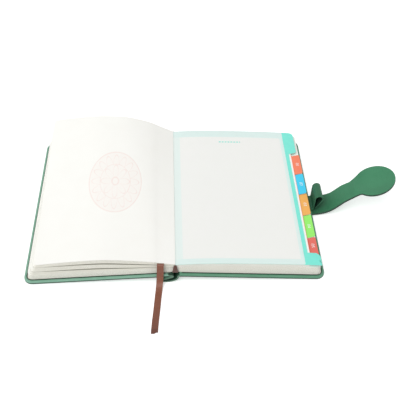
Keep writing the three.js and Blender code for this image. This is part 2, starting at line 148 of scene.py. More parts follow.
def pick_all():
    bpy.ops.mesh.select_all(action="SELECT")


def move(x=0, y=0, z=0):
    """Moves what is picked."""
    bpy.ops.transform.translate(value=(x, y, z))


def edit():
    bpy.ops.object.mode_set(mode="EDIT")


def leave():
    bpy.ops.object.mode_set(mode="OBJECT")


def deselect():
    bpy.ops.object.select_all(action="DESELECT")


def only(obj):
    """Selects one object and makes it the active one."""
    deselect()
    obj.select_set(True)
    bpy.context.view_layer.objects.active = obj


# %% Finish a mesh
def modify(obj, kind, **values):
    """Adds a modifier, sets it and applies it."""
    only(obj)
    made = obj.modifiers.new(kind.title(), kind)
    for name, value in values.items():
        setattr(made, name, value)
    bpy.ops.object.modifier_apply(modifier=made.name)


def apply_place(obj):
    only(obj)
    bpy.ops.object.transform_apply(location=True, rotation=True, scale=True)


def face_outwards(obj):
    """Merges doubled vertices and turns all faces outwards."""
    only(obj)
    edit()
    pick_all()
    bpy.ops.mesh.remove_doubles(threshold=TOUCH)
    bpy.ops.mesh.normals_make_consistent(inside=False)
    leave()


def settle(obj, side):
    """Leans a flat half into its place: side is 1 for the back cover's half, -1 for the front's."""
    obj.scale = (side, 1, 1)
    obj.rotation_euler = (0, side * LEAN, 0)
    obj.location = (GUTTER_X, 0, CROWN)
    apply_place(obj)
    if side < 0:
        face_outwards(obj)


def coat(obj, *materials):
    """Gives an object its materials, in the order of their slots."""
    for material in materials:
        obj.data.materials.append(material)


def finish(obj, name, body=None, stands_for=(), smooth=30):
    """Names a piece, smooths its soft edges and hangs it on its body."""
    obj.name = name
    obj.data.name = name
    only(obj)
    bpy.ops.object.shade_smooth_by_angle(angle=math.radians(smooth))
    if stands_for:
        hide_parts(*stands_for)
    if body:
        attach(obj, body)


# %% [markdown]
# ## Material helpers
# Every finish is a Principled shader fed by procedural patterns. Picture files could feed it
# too, but a pattern needs no file, has no seams and stays sharp from close by. Colours are given
# as they look on a screen and are turned into light values here.

# %% Material helpers
BLACK = (0, 0, 0, 1)
WHITE = (1, 1, 1, 1)


def colour(red, green, blue):
    """A colour given in screen values from 0 to 255, as linear light."""
    def light(value):
        share = value / 255
        return share / 12.92 if share <= 0.04045 else ((share + 0.055) / 1.055) ** 2.4
    return (light(red), light(green), light(blue), 1)


def start_material(name, roughness, **sockets):
    made = bpy.data.materials.new(name)
    made.use_nodes = True
    shader = made.node_tree.nodes["Principled BSDF"]
    shader.inputs["Roughness"].default_value = roughness
    for socket, value in sockets.items():
        shader.inputs[socket.replace("_", " ")].default_value = value
    return made, made.node_tree, shader


def feed(tree, socket, value):
    """Gives an input a number, a colour or the output of another node."""
    if isinstance(value, bpy.types.NodeSocket):
        tree.links.new(value, socket)
    else:
        socket.default_value = value


def node(tree, kind, inputs=None, **settings):
    made = tree.nodes.new("ShaderNode" + kind)
    for name, value in settings.items():
        setattr(made, name, value)
    for name, value in (inputs or {}).items():
        feed(tree, made.inputs[name], value)
    return made


def mix_colour(tree, share, first, second):
    """The mix node has inputs of every kind: 6 and 7 are its colours, and output 2 their mix."""
    return node(tree, "Mix", {0: share, 6: first, 7: second}, data_type="RGBA").outputs[2]


# %% Sums with sockets
def math_node(tree, operation, first, second=0.0, clamp=False):
    made = node(tree, "Math", {0: first, 1: second}, operation=operation, use_clamp=clamp)
    return made.outputs[0]


def plus(tree, first, second, clamp=False):
    return math_node(tree, "ADD", first, second, clamp)


def minus(tree, first, second, clamp=False):
    return math_node(tree, "SUBTRACT", first, second, clamp)


def times(tree, first, second):
    return math_node(tree, "MULTIPLY", first, second)


def over(tree, first, second):
    return math_node(tree, "DIVIDE", first, second)


def size_of(tree, value):
    return math_node(tree, "ABSOLUTE", value)


def largest(tree, most, *others):
    for other in others:
        most = math_node(tree, "MAXIMUM", most, other)
    return most


def ramp(tree, value, start, end, low, high):
    """Goes from low at start to high at end, and stays level outside them."""
    made = node(tree, "MapRange", {"Value": value, "From Min": start, "From Max": end,
                                   "To Min": low, "To Max": high})
    return made.outputs[0]


def split(tree, place):
    """The X, Y and Z of a place."""
    return node(tree, "SeparateXYZ", {0: place}).outputs


# %% Patterns and the surface
def object_place(tree, stretch=(1, 1, 1)):
    place = node(tree, "TexCoord").outputs["Object"]
    return node(tree, "Mapping", {"Vector": place, "Scale": stretch}).outputs[0]


def noise(tree, place, scale, detail=3):
    """Clouds. The scale is how many fit in a metre."""
    return node(tree, "TexNoise", {"Vector": place, "Scale": scale, "Detail": detail}).outputs["Fac"]


def surface(tree, shader, tint, height, depth, strength):
    """Gives the shader its colour and the bumps of its grain."""
    tree.links.new(tint, shader.inputs["Base Color"])
    made = node(tree, "Bump", {"Height": height, "Distance": depth, "Strength": strength})
    tree.links.new(made.outputs[0], shader.inputs["Normal"])


# %% [markdown]
# ## Leather
# The case is soft green leather with a fine pebbled grain. The colour drifts a little over a few
# centimetres. The grain is a cell pattern about a millimetre across, pushed about by noise. The
# front cover gets a paler copy of the leather, as painted light, and the strap has painted shade
# towards its foot. The edges are painted dark, and the same dark leather is painted shade in the
# covers' grooves, low on their edges, inside the pen loop and on one face of each spine strip.
# The spine's cut ends are left bare, and their darker leather is also painted shade at the front
# cover's end by the spine. The grain could be modelled, but it is far finer than the mesh, so it
# is left to bumps in the finish.

# %% Leather
STRAP_X = GUTTER_X + COVER_REACH
STRAP_FOOT = (STRAP_X + 6 * MM, STRAP_X + 26 * MM)
PAINTED_FOOT_SHADE = 0.6
DRIFT_SCALE, SPOT_SCALE, PEBBLE_SCALE, PORE_SCALE = 38, 420, 1050, 2200
LEATHER_GRAIN, PAINT_GRAIN = 0.12 * MM, 0.05 * MM


def leather(name, dark, light, roughness=0.5, grain=LEATHER_GRAIN, foot=None):
    """Grained leather. foot gives the places along X over which its painted shade fades, so that it grows
    lighter.
    """
    made, tree, shader = start_material(name, roughness, Specular_IOR_Level=0.35)
    place = object_place(tree)
    spots = noise(tree, place, SPOT_SCALE, 2)
    drift = times(tree, noise(tree, place, DRIFT_SCALE, 4), 0.75)
    base = mix_colour(tree, plus(tree, drift, times(tree, spots, 0.3), True), dark, light)
    # Painted shade: the leather darkens towards the strap's foot.
    if foot:
        shade = ramp(tree, split(tree, place)[0], *foot, PAINTED_FOOT_SHADE, 0)
        base = mix_colour(tree, shade, base, dark)
        base = mix_colour(tree, times(tree, shade, 0.5), base, BLACK)
    pebbles = node(tree, "TexVoronoi", {"Vector": place, "Scale": PEBBLE_SCALE}).outputs["Distance"]
    pores = times(tree, noise(tree, place, PORE_SCALE, 2), 0.4)
    surface(tree, shader, base, plus(tree, pebbles, pores), grain, 0.6)
    rough = ramp(tree, spots, 0, 1, roughness - 0.08, roughness + 0.1)
    tree.links.new(rough, shader.inputs["Roughness"])
    return made


case_leather = leather("case_leather", colour(62, 116, 88), colour(106, 158, 130))
# Painted light: a paler copy of the case leather for the front cover, which catches more light.
front_leather = leather("front_leather", colour(98, 144, 121), colour(142, 184, 163))
strap_leather = leather("strap_leather", colour(40, 107, 73), colour(73, 142, 104), foot=STRAP_FOOT)
# Real edge paint, and painted shade where the same dark leather lies in grooves and on shaded faces.
edge_paint_and_shade = leather("edge_paint_and_shade", colour(24, 52, 38), colour(42, 74, 57), 0.45, PAINT_GRAIN)
strap_edge = leather("strap_edge", colour(12, 40, 27), colour(28, 60, 44), 0.45, PAINT_GRAIN)
# Bare cut ends, and painted shade on the front cover's end by the spine.
cut_and_shaded_leather = leather("cut_and_shaded_leather", colour(62, 92, 74), colour(106, 138, 118), 0.6)
print("leather:", case_leather.name, strap_leather.name, edge_paint_and_shade.name)

# %% [markdown]
# ## Paper
# Book paper is warm white, with a faint cloud where the fibres lie closer. One flat colour would
# look like plastic. Its cut edges are a little darker, because light sinks in between the
# leaves, so they are a second finish that Solidify puts on the rim.

# %% Paper
FIBRE_SCALE, TOOTH_SCALE = 60, 900
PAPER_GRAIN = 0.02 * MM
PAGE_COLOURS = colour(252, 252, 247), colour(249, 248, 242)


def paper(name, base, cloud, roughness=0.8, stretch=(1, 1, 1), printed=None):
    """Paper or board. printed(tree, place, tint) lays a picture over its colour."""
    made, tree, shader = start_material(name, roughness, Specular_IOR_Level=0.25)
    place = object_place(tree, stretch)
    tint = mix_colour(tree, noise(tree, place, FIBRE_SCALE, 5), base, cloud)
    if printed:
        tint = printed(tree, place, tint)
    surface(tree, shader, tint, noise(tree, place, TOOTH_SCALE), PAPER_GRAIN, 0.4)
    return made


page_paper = paper("page_paper", *PAGE_COLOURS)
page_edge = paper("page_edge", colour(226, 224, 212), colour(214, 212, 199), stretch=(0.4, 0.4, 9))
# Painted shade for the leaf under each gap among the raised leaves.
shaded_paper = paper("shaded_paper", colour(168, 166, 153), colour(156, 154, 141))
end_paper = paper("end_paper", colour(240, 236, 224), colour(232, 227, 213))
board = paper("board", colour(150, 141, 128), colour(118, 110, 100))
white_ink = paper("white_ink", colour(252, 252, 250), colour(244, 245, 243), 0.5)
print("paper:", page_paper.name, page_edge.name, shaded_paper.name, end_paper.name)

# %% [markdown]
# ## Printed leaves
# A leaf keeps the flat map of the plane that it starts as, so a print is placed in real sizes:
# across from the gutter and up from the middle of the leaf. A step from 0 to 1 marks each edge.

# %% Where a point lies on its leaf
PRINT_EDGE = 0.25 * MM


def leaf_place(tree, reach):
    """Metres from the gutter and from the middle of the leaf's height."""
    flat = split(tree, node(tree, "UVMap").outputs[0])
    return times(tree, flat[0], reach), times(tree, minus(tree, flat[1], 0.5), 2 * HALF_LEAF)


def beyond(tree, value, limit):
    """1 where the value is over the limit, with an edge a quarter of a millimetre wide."""
    return plus(tree, over(tree, minus(tree, value, limit), PRINT_EDGE), 0.5, True)


def within(tree, value, limit):
    """1 where the value is under the limit."""
    return minus(tree, 1.0, beyond(tree, value, limit))


# %% [markdown]
# ## Dividers
# Five index dividers are white card with a coloured tab. The mint one is printed as a frame
# round a white page, and its tabs stand at the head and the tail. The print could be a second,
# thinner sheet on top, but as a pattern it can't flicker through or stand off the card.

# %% Divider prints
DIVIDER_EDGE = 135 * MM
TAB_REACH = 144.6 * MM
INK_OVERLAP = 0.4 * MM
MINT_LEFT, MINT_RIGHT = 7 * MM, 124.5 * MM
MINT_HEAD, MINT_TAIL = 93.3 * MM, -98 * MM
LEFT_INK = 0.6
CARD_CLOUD_SCALE, CARD_TOOTH_SCALE = 220, 1400
CARD_GRAIN = 0.01 * MM
CARD_COLOURS = colour(254, 254, 251), colour(250, 250, 246)


def card(name, ink, reach, inked):
    """White card printed in one ink. inked(tree, across, up) gives 1 where the ink lies."""
    made, tree, shader = start_material(name, 0.55, Specular_IOR_Level=0.35)
    place = object_place(tree)
    cloud = noise(tree, place, CARD_CLOUD_SCALE)
    white = mix_colour(tree, cloud, *CARD_COLOURS)
    thicker_ink = [channel * 0.9 for channel in ink[:3]] + [1]
    tint = mix_colour(tree, cloud, ink, thicker_ink)
    tint = mix_colour(tree, inked(tree, *leaf_place(tree, reach)), white, tint)
    surface(tree, shader, tint, noise(tree, place, CARD_TOOTH_SCALE, 2), CARD_GRAIN, 0.3)
    return made


def tab_ink(tree, across, up):
    """The tab and a hair's breadth of the card beside it."""
    return beyond(tree, across, DIVIDER_EDGE - INK_OVERLAP)


def frame_ink(tree, across, up):
    """The mint divider's frame and tabs. The frame is paler on the left."""
    left = times(tree, within(tree, across, MINT_LEFT), LEFT_INK)
    return largest(tree, left, beyond(tree, across, MINT_RIGHT),
                   beyond(tree, up, MINT_HEAD), within(tree, up, MINT_TAIL))


INKS = {
    "coral": colour(253, 138, 104), "blue": colour(74, 216, 252), "orange": colour(252, 186, 98),
    "green": colour(160, 250, 116), "red": colour(238, 118, 104)}
MINT_INK = colour(132, 240, 222)
cards = {name: card(name + "_card", ink, TAB_REACH, tab_ink) for name, ink in INKS.items()}
cards["mint"] = card("mint_card", MINT_INK, LEAF_REACH, frame_ink)
print("cards:", sorted(cards))

# %% [markdown]
# ## Translucent leaf
# The leaf over the dividers is tracing paper: light passes, and the frame under it shows pale.
# Its upper face lets a fifth of the light through, and the underside nearly all of it, so that
# the sheet stays bright over the white card. Real transmission would need many more rays, and
# for so thin a sheet plain see-through is enough. A trace of mint is painted over the frame once
# more, as painted light for the light that comes back up coloured from the frame, and the leaf
# has a heading of short dashes.

# %% Translucent leaf's finish
VELLUM_REACH = 128.1 * MM
UPPER_COVER, UNDER_COVER = 0.8, 0.08
HEADING_HEIGHT, HEADING_HALF_HEIGHT = 84 * MM, 1.1 * MM
HEADING_MIDDLE, HEADING_HALF_WIDTH = 64 * MM, 13 * MM
DASH_STEP, DASH_GAP, DASH_INK = 3.4 * MM, 0.35, 0.8


def heading_marks(tree, across, up):
    """A heading: one row of short dashes."""
    row = within(tree, size_of(tree, minus(tree, up, HEADING_HEIGHT)), HEADING_HALF_HEIGHT)
    reach = within(tree, size_of(tree, minus(tree, across, HEADING_MIDDLE)), HEADING_HALF_WIDTH)
    step = math_node(tree, "FRACT", over(tree, across, DASH_STEP))
    dash = times(tree, math_node(tree, "GREATER_THAN", step, DASH_GAP), DASH_INK)
    return times(tree, times(tree, row, reach), dash)


def vellum(name, cover):
    """Tracing paper. cover is the share of the light that it stops."""
    made, tree, shader = start_material(name, 0.5, Alpha=cover, Specular_IOR_Level=0.2)
    cloud = noise(tree, object_place(tree), 90, 6)
    place = leaf_place(tree, VELLUM_REACH)
    tint = mix_colour(tree, cloud, colour(255, 255, 252), colour(254, 255, 250))
    # Painted light: a pale mint over the frame, for the light that comes back up through the sheet.
    tint = mix_colour(tree, frame_ink(tree, *place), tint, colour(243, 255, 252))
    tint = mix_colour(tree, heading_marks(tree, *place), tint, MINT_INK)
    tree.links.new(tint, shader.inputs["Base Color"])
    return made


tracing_paper = vellum("vellum", UPPER_COVER)
clear_side = vellum("vellum_underside", UNDER_COVER)
print("tracing paper stops", UPPER_COVER, "of the light from above")

# %% [markdown]
# ## Medallion page
# The top leaf on the left is printed with a pale pink rosette: rings and petals, worked out
# from the distance and the angle round its middle. Sums with sockets draw it, so it needs no
# picture file, and it follows the leaf that it lies on.

# %% Medallion page
MEDALLION_X, MEDALLION_Y = GUTTER_X - 62.5 * MM, 2 * MM
MEDALLION_HALF_WIDTH, MEDALLION_HALF_HEIGHT = 29 * MM, 46 * MM
PETAL_LINE = 0.035
PETAL_ROWS = ((8, 0.18, 0.52), (16, 0.56, 0.86))
RINGS = ((0.95, 0.03), (0.55, 0.02), (0.12, 0.05))
WASH_REACH, WASH_INK = 0.97, 0.22
WORN_SCALE = 160
PICTURE_INK = colour(243, 214, 207)


def rosette(tree, place, tint):
    """Rings and petals, faint and worn, over the page's colour. 1 is the rim of the picture."""
    parts = split(tree, place)
    right = over(tree, minus(tree, parts[0], MEDALLION_X), MEDALLION_HALF_WIDTH)
    high = over(tree, minus(tree, parts[1], MEDALLION_Y), MEDALLION_HALF_HEIGHT)
    away = math_node(tree, "SQRT", plus(tree, times(tree, right, right), times(tree, high, high)))
    angle = math_node(tree, "ARCTAN2", high, right)

    def ring(radius, width):
        gap = size_of(tree, minus(tree, away, radius))
        return minus(tree, 1.0, over(tree, gap, width), True)

    def petals(count, inner, outer):
        wave = size_of(tree, math_node(tree, "COSINE", times(tree, angle, count / 2)))
        return ring(plus(tree, times(tree, wave, outer - inner), inner), PETAL_LINE)

    lines = [petals(*row) for row in PETAL_ROWS] + [ring(*row) for row in RINGS]
    wash = times(tree, within(tree, away, WASH_REACH), WASH_INK)
    worn = plus(tree, times(tree, noise(tree, place, WORN_SCALE, 4), 0.7), 0.35, True)
    amount = times(tree, largest(tree, *lines, wash), times(tree, worn, 0.75))
    return mix_colour(tree, amount, tint, PICTURE_INK)


medallion = paper("medallion_page", *PAGE_COLOURS, printed=rosette)
print("medallion half height", MEDALLION_HALF_HEIGHT)

# %% [markdown]
# ## Cloth and metal
# The end bands are woven cotton with short slanting stitches. They are a few millimetres wide,
# so a wave pattern with bumps shows as much as modelled threads would. The clasp's plate and
# magnet are brushed steel: noise drawn out in one direction makes the streaks.

# %% Cloth and metal
WEAVE_SCALE, WEAVE_GRAIN = 900, 0.12 * MM
BRUSH_STRETCH, BRUSH_GRAIN = (40, 900, 40), 0.01 * MM


def woven_band():
    made, tree, shader = start_material("woven_band", 0.85, Sheen_Weight=0.3)
    weave = node(tree, "TexWave", {"Vector": object_place(tree), "Scale": WEAVE_SCALE,
                                   "Distortion": 1.5}, bands_direction="DIAGONAL").outputs["Fac"]
    tint = mix_colour(tree, weave, colour(66, 32, 25), colour(108, 66, 50))
    surface(tree, shader, tint, weave, WEAVE_GRAIN, 0.8)
    return made


def brushed_steel():
    made, tree, shader = start_material("brushed_steel", 0.32, Metallic=1.0)
    streak = noise(tree, object_place(tree, BRUSH_STRETCH), 3, 4)
    tint = mix_colour(tree, streak, colour(170, 172, 176), colour(205, 207, 210))
    surface(tree, shader, tint, streak, BRUSH_GRAIN, 0.4)
    return made


band_cloth = woven_band()
steel = brushed_steel()
print("cloth and metal:", band_cloth.name, steel.name)

# %% [markdown]
# ## Ribbon marker
# The ribbon is a flat satin cord. It comes out of the block at the tail, bends over the edge,
# hangs down the spine and lies loose on the table. A curve with a depth would twist on such a
# route. So an edge of the strip's width is pushed out step by step along it, as one would
# extrude it by hand, and then it gets its thickness.

# %% Strip along a route
def smooth_route(points, steps=4):
    """More points on a smooth curve through the given ones."""
    made = []
    last = len(points) - 1
    for i in range(last):
        a, b, c, d = (Vector(points[max(0, min(last, i + k))]) for k in (-1, 0, 1, 2))
        for step in range(steps):
            t = step / steps
            made.append(0.5 * (2 * b + (c - a) * t + (2 * a - 5 * b + 4 * c - d) * t ** 2
                               + (3 * b - a - 3 * c + d) * t ** 3))
    return made + [Vector(points[last])]


def strip(route, width, along_x=False, cuts=4):
    """A strip of faces along a route. Its width lies along Y, or along X for the ribbon."""
    deselect()
    bpy.ops.mesh.primitive_grid_add(x_subdivisions=1, y_subdivisions=cuts, size=width)
    edit()
    pick(lambda p: p.x > 0)
    bpy.ops.mesh.delete(type="VERT")
    pick_all()
    move(width / 2)
    if along_x:
        bpy.ops.transform.rotate(value=math.pi / 2, orient_axis="Z", center_override=(0, 0, 0))
    move(*route[0])
    for here, there in zip(route, route[1:]):
        bpy.ops.mesh.extrude_edges_move(TRANSFORM_OT_translate={"value": there - here})
    leave()
    return bpy.context.object


# %% [markdown]
# The satin's threads run along the ribbon, so its pattern follows the strip's own map: U goes
# across it and V along it. The ribbon gets painted shade where it bends over the edge, and it is
# painted darker towards its end.

# %% Satin
THREAD_SCALE, SATIN_CLOUD_SCALE = 12, 120
SATIN_GRAIN = 0.04 * MM
UPPER_SHADE = (0.3, 0.05, 0, 0.3)
LOWER_SHADE = (0.5, 0.95, 0, 0.55)
CUT_END = 0.93


def satin():
    """Satin with its threads along V. Each shade is a ramp along V."""
    made, tree, shader = start_material("satin", 0.4, Sheen_Weight=0.12, Sheen_Roughness=0.3)
    flat = node(tree, "UVMap").outputs[0]
    along = split(tree, flat)[1]
    thread = node(tree, "TexWave", {"Vector": flat, "Scale": THREAD_SCALE,
                                    "Distortion": 0.4}).outputs["Fac"]
    base = mix_colour(tree, thread, colour(114, 62, 43), colour(152, 94, 68))
    # Painted shade where the ribbon bends over the edge, and a darkening towards its end.
    shade = plus(tree, ramp(tree, along, *LOWER_SHADE), ramp(tree, along, *UPPER_SHADE))
    base = mix_colour(tree, shade, base, colour(92, 46, 34))
    drift = times(tree, noise(tree, object_place(tree), SATIN_CLOUD_SCALE), 0.3)
    base = mix_colour(tree, drift, base, colour(96, 58, 44))
    cut_end = times(tree, beyond(tree, along, CUT_END), 0.45)
    base = mix_colour(tree, cut_end, base, colour(84, 46, 34))
    surface(tree, shader, base, thread, SATIN_GRAIN, 0.5)
    return made


# %% Ribbon
RIBBON_WIDTH = 6.7 * MM
RIBBON_THICKNESS = 0.3 * MM
RIBBON_CUT_SLANT = 1.6 * MM
RIBBON_ROUTE = [
    (-14.4, -105.3, 24.6), (-14.4, -106.4, 24.4), (-14.5, -107.5, 23.5), (-14.6, -108.5, 21.8),
    (-14.7, -109.2, 19.2), (-14.8, -109.6, 16), (-15, -110, 12.4), (-15.2, -110.8, 8.6),
    (-15.5, -112.6, 5), (-15.9, -115.8, 2.4), (-16.3, -120, 1), (-16.8, -125, 0.55),
    (-17.4, -132, 0.45), (-18, -140, 0.45), (-18.7, -148, 0.45), (-19.4, -156, 0.45),
    (-20, -164, 0.45), (-20.4, -171, 0.45)]


def map_strip(obj, route, travelled, width):
    """Lays the strip's map: across it in its width, and along it in the way travelled."""
    layer = obj.data.uv_layers[0]
    for loop in obj.data.loops:
        place = obj.data.vertices[loop.vertex_index].co
        i = min(range(len(route)), key=lambda k: (route[k].yz - place.yz).length)
        across = (place.x - route[i].x) / width + 0.5
        layer.data[loop.index].uv = (across, travelled[i] / travelled[-1])


def make_ribbon():
    points = [Vector((x * MM + GUTTER_X, y * MM, z * MM)) for x, y, z in RIBBON_ROUTE]
    route = smooth_route(points)
    travelled = [0]
    for a, b in zip(route, route[1:]):
        travelled.append(travelled[-1] + (b - a).length)
    obj = strip(route, RIBBON_WIDTH, along_x=True)
    map_strip(obj, route, travelled, RIBBON_WIDTH)
    edit()
    end = route[-1]
    pick(lambda p: abs(p.y - end.y) < 2 * NEAR and p.x > end.x + MM)
    move(y=RIBBON_CUT_SLANT)
    leave()
    modify(obj, "SOLIDIFY", thickness=RIBBON_THICKNESS, offset=0)
    coat(obj, satin())
    finish(obj, "ribbon_marker", "ribbon", ["ribbon"])
    print("ribbon length", round(travelled[-1], 4), "m")


make_ribbon()

# %% [markdown]
# ## Studio
# The book lies on a plain white table under soft light from the front left. The world gives
# three fifths of the light and a wide sun the rest, so white paper renders white without
# clipping. The table is lifted to white for the camera and for reflections only, and keeps the
# shadow.

# %% Studio
WORLD_LIGHT = 0.6
SKY_COLOUR = (WORLD_LIGHT, WORLD_LIGHT, WORLD_LIGHT * 1.01, 1)
SUN_STRENGTH = 1.58
SUN_TURN = (math.radians(30), math.radians(-24), 0)
SUN_WIDTH = math.radians(40)
TABLE_SIZE = 8
TABLE_LIFT = 0.42


def white_share(tree):
    """1 for rays from the camera, a reflection or a refraction."""
    path = node(tree, "LightPath").outputs
    return largest(tree, path["Is Camera Ray"], path["Is Glossy Ray"], path["Is Transmission Ray"])


def make_world():
    world = bpy.data.worlds.new("studio")
    bpy.context.scene.world = world
    world.use_nodes = True
    tree = world.node_tree
    tree.links.new(mix_colour(tree, white_share(tree), SKY_COLOUR, WHITE),
                   tree.nodes["Background"].inputs["Color"])
    bpy.ops.object.light_add(type="SUN", rotation=SUN_TURN)
    sun = bpy.context.object
    sun.data.energy = SUN_STRENGTH
    sun.data.angle = SUN_WIDTH


def make_table():
    bpy.ops.mesh.primitive_plane_add(size=TABLE_SIZE, location=(0, 0, 0))
    table = bpy.context.object
    table.name = "table_top"
    made, tree, shader = start_material("table_white", 0.9, Specular_IOR_Level=0.0)
    cloud = noise(tree, object_place(tree), 40, 2)
    tint = mix_colour(tree, cloud, colour(248, 248, 248), colour(246, 246, 246))
    tree.links.new(tint, shader.inputs["Base Color"])
    glow = node(tree, "Emission", {"Strength": times(tree, white_share(tree), TABLE_LIFT)})
    both = node(tree, "AddShader", {0: shader.outputs[0], 1: glow.outputs[0]})
    tree.links.new(both.outputs[0], tree.nodes["Material Output"].inputs["Surface"])
    coat(table, made)


make_world()
make_table()
bpy.context.scene.view_settings.view_transform = "Standard"
print("sun", SUN_STRENGTH, "world", WORLD_LIGHT)

# %% [markdown]
# ## Covers
# Each cover is a leather-wrapped board. The leather is turned in over the edges as a soft roll,
# with a ledge inside it, and the endpaper lies in the pocket within. A plane is bevelled at two
# corners and extruded to the thickness. Its top is inset and pushed in twice, for the ledge and
# the pocket. The roll's outer edge is rounded widely above and closely below. The pocket and the
# faces low on the edge get the dark leather as painted shade, for the groove and the underside
# of the roll, and the front cover's end by the spine gets darker leather as painted shade too.

# %% Covers
COVER_CORNER = 9 * MM
COVER_CORNER_CUTS = 10
ROLL = 2.8 * MM
ROLL_HEIGHT = COVER_THICKNESS + 0.4 * MM
LEDGE = 1.3 * MM
LEDGE_DROP = 0.5 * MM
POCKET = 2.2 * MM
SPINE_SHADE_REACH = 15 * MM
UNDER_ROLL_SHADE_HEIGHT = 1.95 * MM
OVERHANG = HALF_COVER + 0.6 * MM
OUTLINE_MARGIN = 0.3 * MM
POCKET_MARGIN = 0.9 * ROLL
POCKET_ROUNDING, TOP_ROUNDING, LOWER_ROUNDING = (0.7 * MM, 3), (1.5 * MM, 6), (0.6 * MM, 3)


def plane(x_from, x_to, half):
    """A flat rectangle from x_from to x_to, and from -half to half along Y."""
    deselect()
    bpy.ops.mesh.primitive_plane_add(size=1, location=((x_from + x_to) / 2, 0, 0))
    obj = bpy.context.object
    obj.scale = (x_to - x_from, 2 * half, 1)
    apply_place(obj)
    return obj


def round_corners(radius, test, segments=6):
    pick(test)
    bpy.ops.mesh.bevel(affect="VERTICES", offset=radius, segments=segments)


def round_edges(rounding, test):
    """Bevels the edges that pass the test. A rounding is a width and a number of cuts."""
    pick(test, "EDGE")
    bpy.ops.mesh.bevel(offset=rounding[0], segments=rounding[1])


def push(height):
    """Extrudes what is picked straight up, or down."""
    bpy.ops.mesh.extrude_region_move(TRANSFORM_OT_translate={"value": (0, 0, height)})


def paint(obj, index, test):
    """Gives the faces whose middle and normal pass the test another of the object's materials."""
    for face in obj.data.polygons:
        if test(face.center, face.normal):
            face.material_index = index


def from_outline(p, start):
    """How far inside the cover's outer edge a point lies."""
    corner_x, corner_y = COVER_REACH - COVER_CORNER, OVERHANG - COVER_CORNER
    if p.x > corner_x and abs(p.y) > corner_y:
        return COVER_CORNER - (p.xy - Vector((corner_x, math.copysign(corner_y, p.y)))).length
    return min(p.x - start, COVER_REACH - p.x, OVERHANG - abs(p.y))


def cover_mesh(start):
    """The cover as one closed mesh, lying flat. start is how far from the gutter it begins."""
    def outline(p):
        return from_outline(p, start) < OUTLINE_MARGIN

    top = ROLL_HEIGHT - NEAR
    obj = plane(start, COVER_REACH, OVERHANG)
    edit()
    round_corners(COVER_CORNER, lambda p: p.x > COVER_REACH - MM, COVER_CORNER_CUTS)
    pick_all()
    push(ROLL_HEIGHT)
    pick_all()
    bpy.ops.mesh.normals_make_consistent(inside=False)
    pick(lambda p: p.z > top, "FACE")
    bpy.ops.mesh.inset(thickness=ROLL)
    push(-LEDGE_DROP)
    bpy.ops.mesh.inset(thickness=LEDGE)
    push(-POCKET)
    round_edges(POCKET_ROUNDING, lambda p: p.z > top and from_outline(p, start) > POCKET_MARGIN)
    round_edges(TOP_ROUNDING, lambda p: p.z > top and outline(p))
    round_edges(LOWER_ROUNDING, lambda p: p.z < NEAR and outline(p))
    leave()
    return obj


# %% Cover pieces
BACK_START, FRONT_START = 3.7 * MM, 6.4 * MM
NOT_DOWN, NOT_UNDERNEATH = -0.5, -0.85


def make_cover(side, start, wrapping):
    obj = cover_mesh(start)
    coat(obj, wrapping, edge_paint_and_shade, cut_and_shaded_leather)
    # Painted shade: dark leather in the pocket's groove and low on the edge, under the roll.
    paint(obj, 1, lambda p, n: from_outline(p, start) > POCKET_MARGIN and n.z > NOT_DOWN)
    paint(obj, 1, lambda p, n: p.z < UNDER_ROLL_SHADE_HEIGHT and n.z > NOT_UNDERNEATH)
    # Painted shade: the front cover's end by the spine gets the darker leather.
    if side < 0:
        paint(obj, 2, lambda p, n: p.x < SPINE_SHADE_REACH and n.z > NOT_UNDERNEATH)
    settle(obj, side)
    name = f"{HALF_NAME[side]}_cover"
    finish(obj, name, HALF_BODY[side], [f"{name}_leather"], smooth=40)
    print(name, "faces", len(obj.data.polygons))


make_cover(1, BACK_START, case_leather)
make_cover(-1, FRONT_START, front_leather)

# %% [markdown]
# ## Leaves
# A leaf is one plane: the two fore-edge corners are rounded, cuts across it let it bend, and
# each column of vertices is lifted to the height that the lie of the page gives it. A bend
# modifier gives one arc only, and a page has two: a rise out of the gutter and a droop at the
# fore edge. These lines are the same as in the frame.

# %% The lie of the pages
SPINE_SLOPE = 3.2 * MM
GUTTER_GAP = 0.01 * MM
FOLD_TOP = 13.4 * MM
RISE, RISE_REACH = 4.4 * MM, 30 * MM
DROOP, DROOP_START = 0.9 * MM, 100 * MM
TOP_CLEARANCE = 0.3 * MM
TOP_LEAVES = 3.85 * MM
FRONT_BLOCK, FRONT_DIP = 6.6 * MM, 0.9 * MM
LEAF_CORNER = 5 * MM
COLUMNS = [5, 9, 14, 20, 28, 38, 50, 64, 80, 96, 108, 118, 127]


def inner_edge(height):
    """How far from the gutter a leaf at this height starts."""
    share = min(1, (height - BLOCK_FLOOR) / (FOLD_TOP - BLOCK_FLOOR))
    across = SPINE_SLOPE + (GUTTER_GAP - SPINE_SLOPE) * share
    return (across - height * math.sin(LEAN)) / math.cos(LEAN)


def back_top(x):
    """Height of the back half's top leaf."""
    rise = RISE * (1 - math.exp(-max(0, x) / RISE_REACH))
    droop = DROOP * (max(0, x - DROOP_START) / (LEAF_REACH - DROOP_START)) ** 2
    return BLOCK_HEIGHT - TOP_CLEARANCE + rise - droop


def back_block_top(x):
    return back_top(x) - TOP_LEAVES


def front_block_top(x):
    return BLOCK_FLOOR + FRONT_BLOCK - FRONT_DIP * math.exp(-max(0, x) / RISE_REACH)


print("back top leaf rises to", round(max(back_top(x * MM) for x in COLUMNS), 4))

# %% A flat leaf with its cuts
def cut(columns, rows):
    """Cuts across the whole mesh, in millimetres along X and Y."""
    lines = [((x * MM, 0, 0), (1, 0, 0)) for x in columns]
    lines += [((0, y * MM, 0), (0, 1, 0)) for y in rows]
    for place, direction in lines:
        pick_all()
        bpy.ops.mesh.bisect(plane_co=place, plane_no=direction)


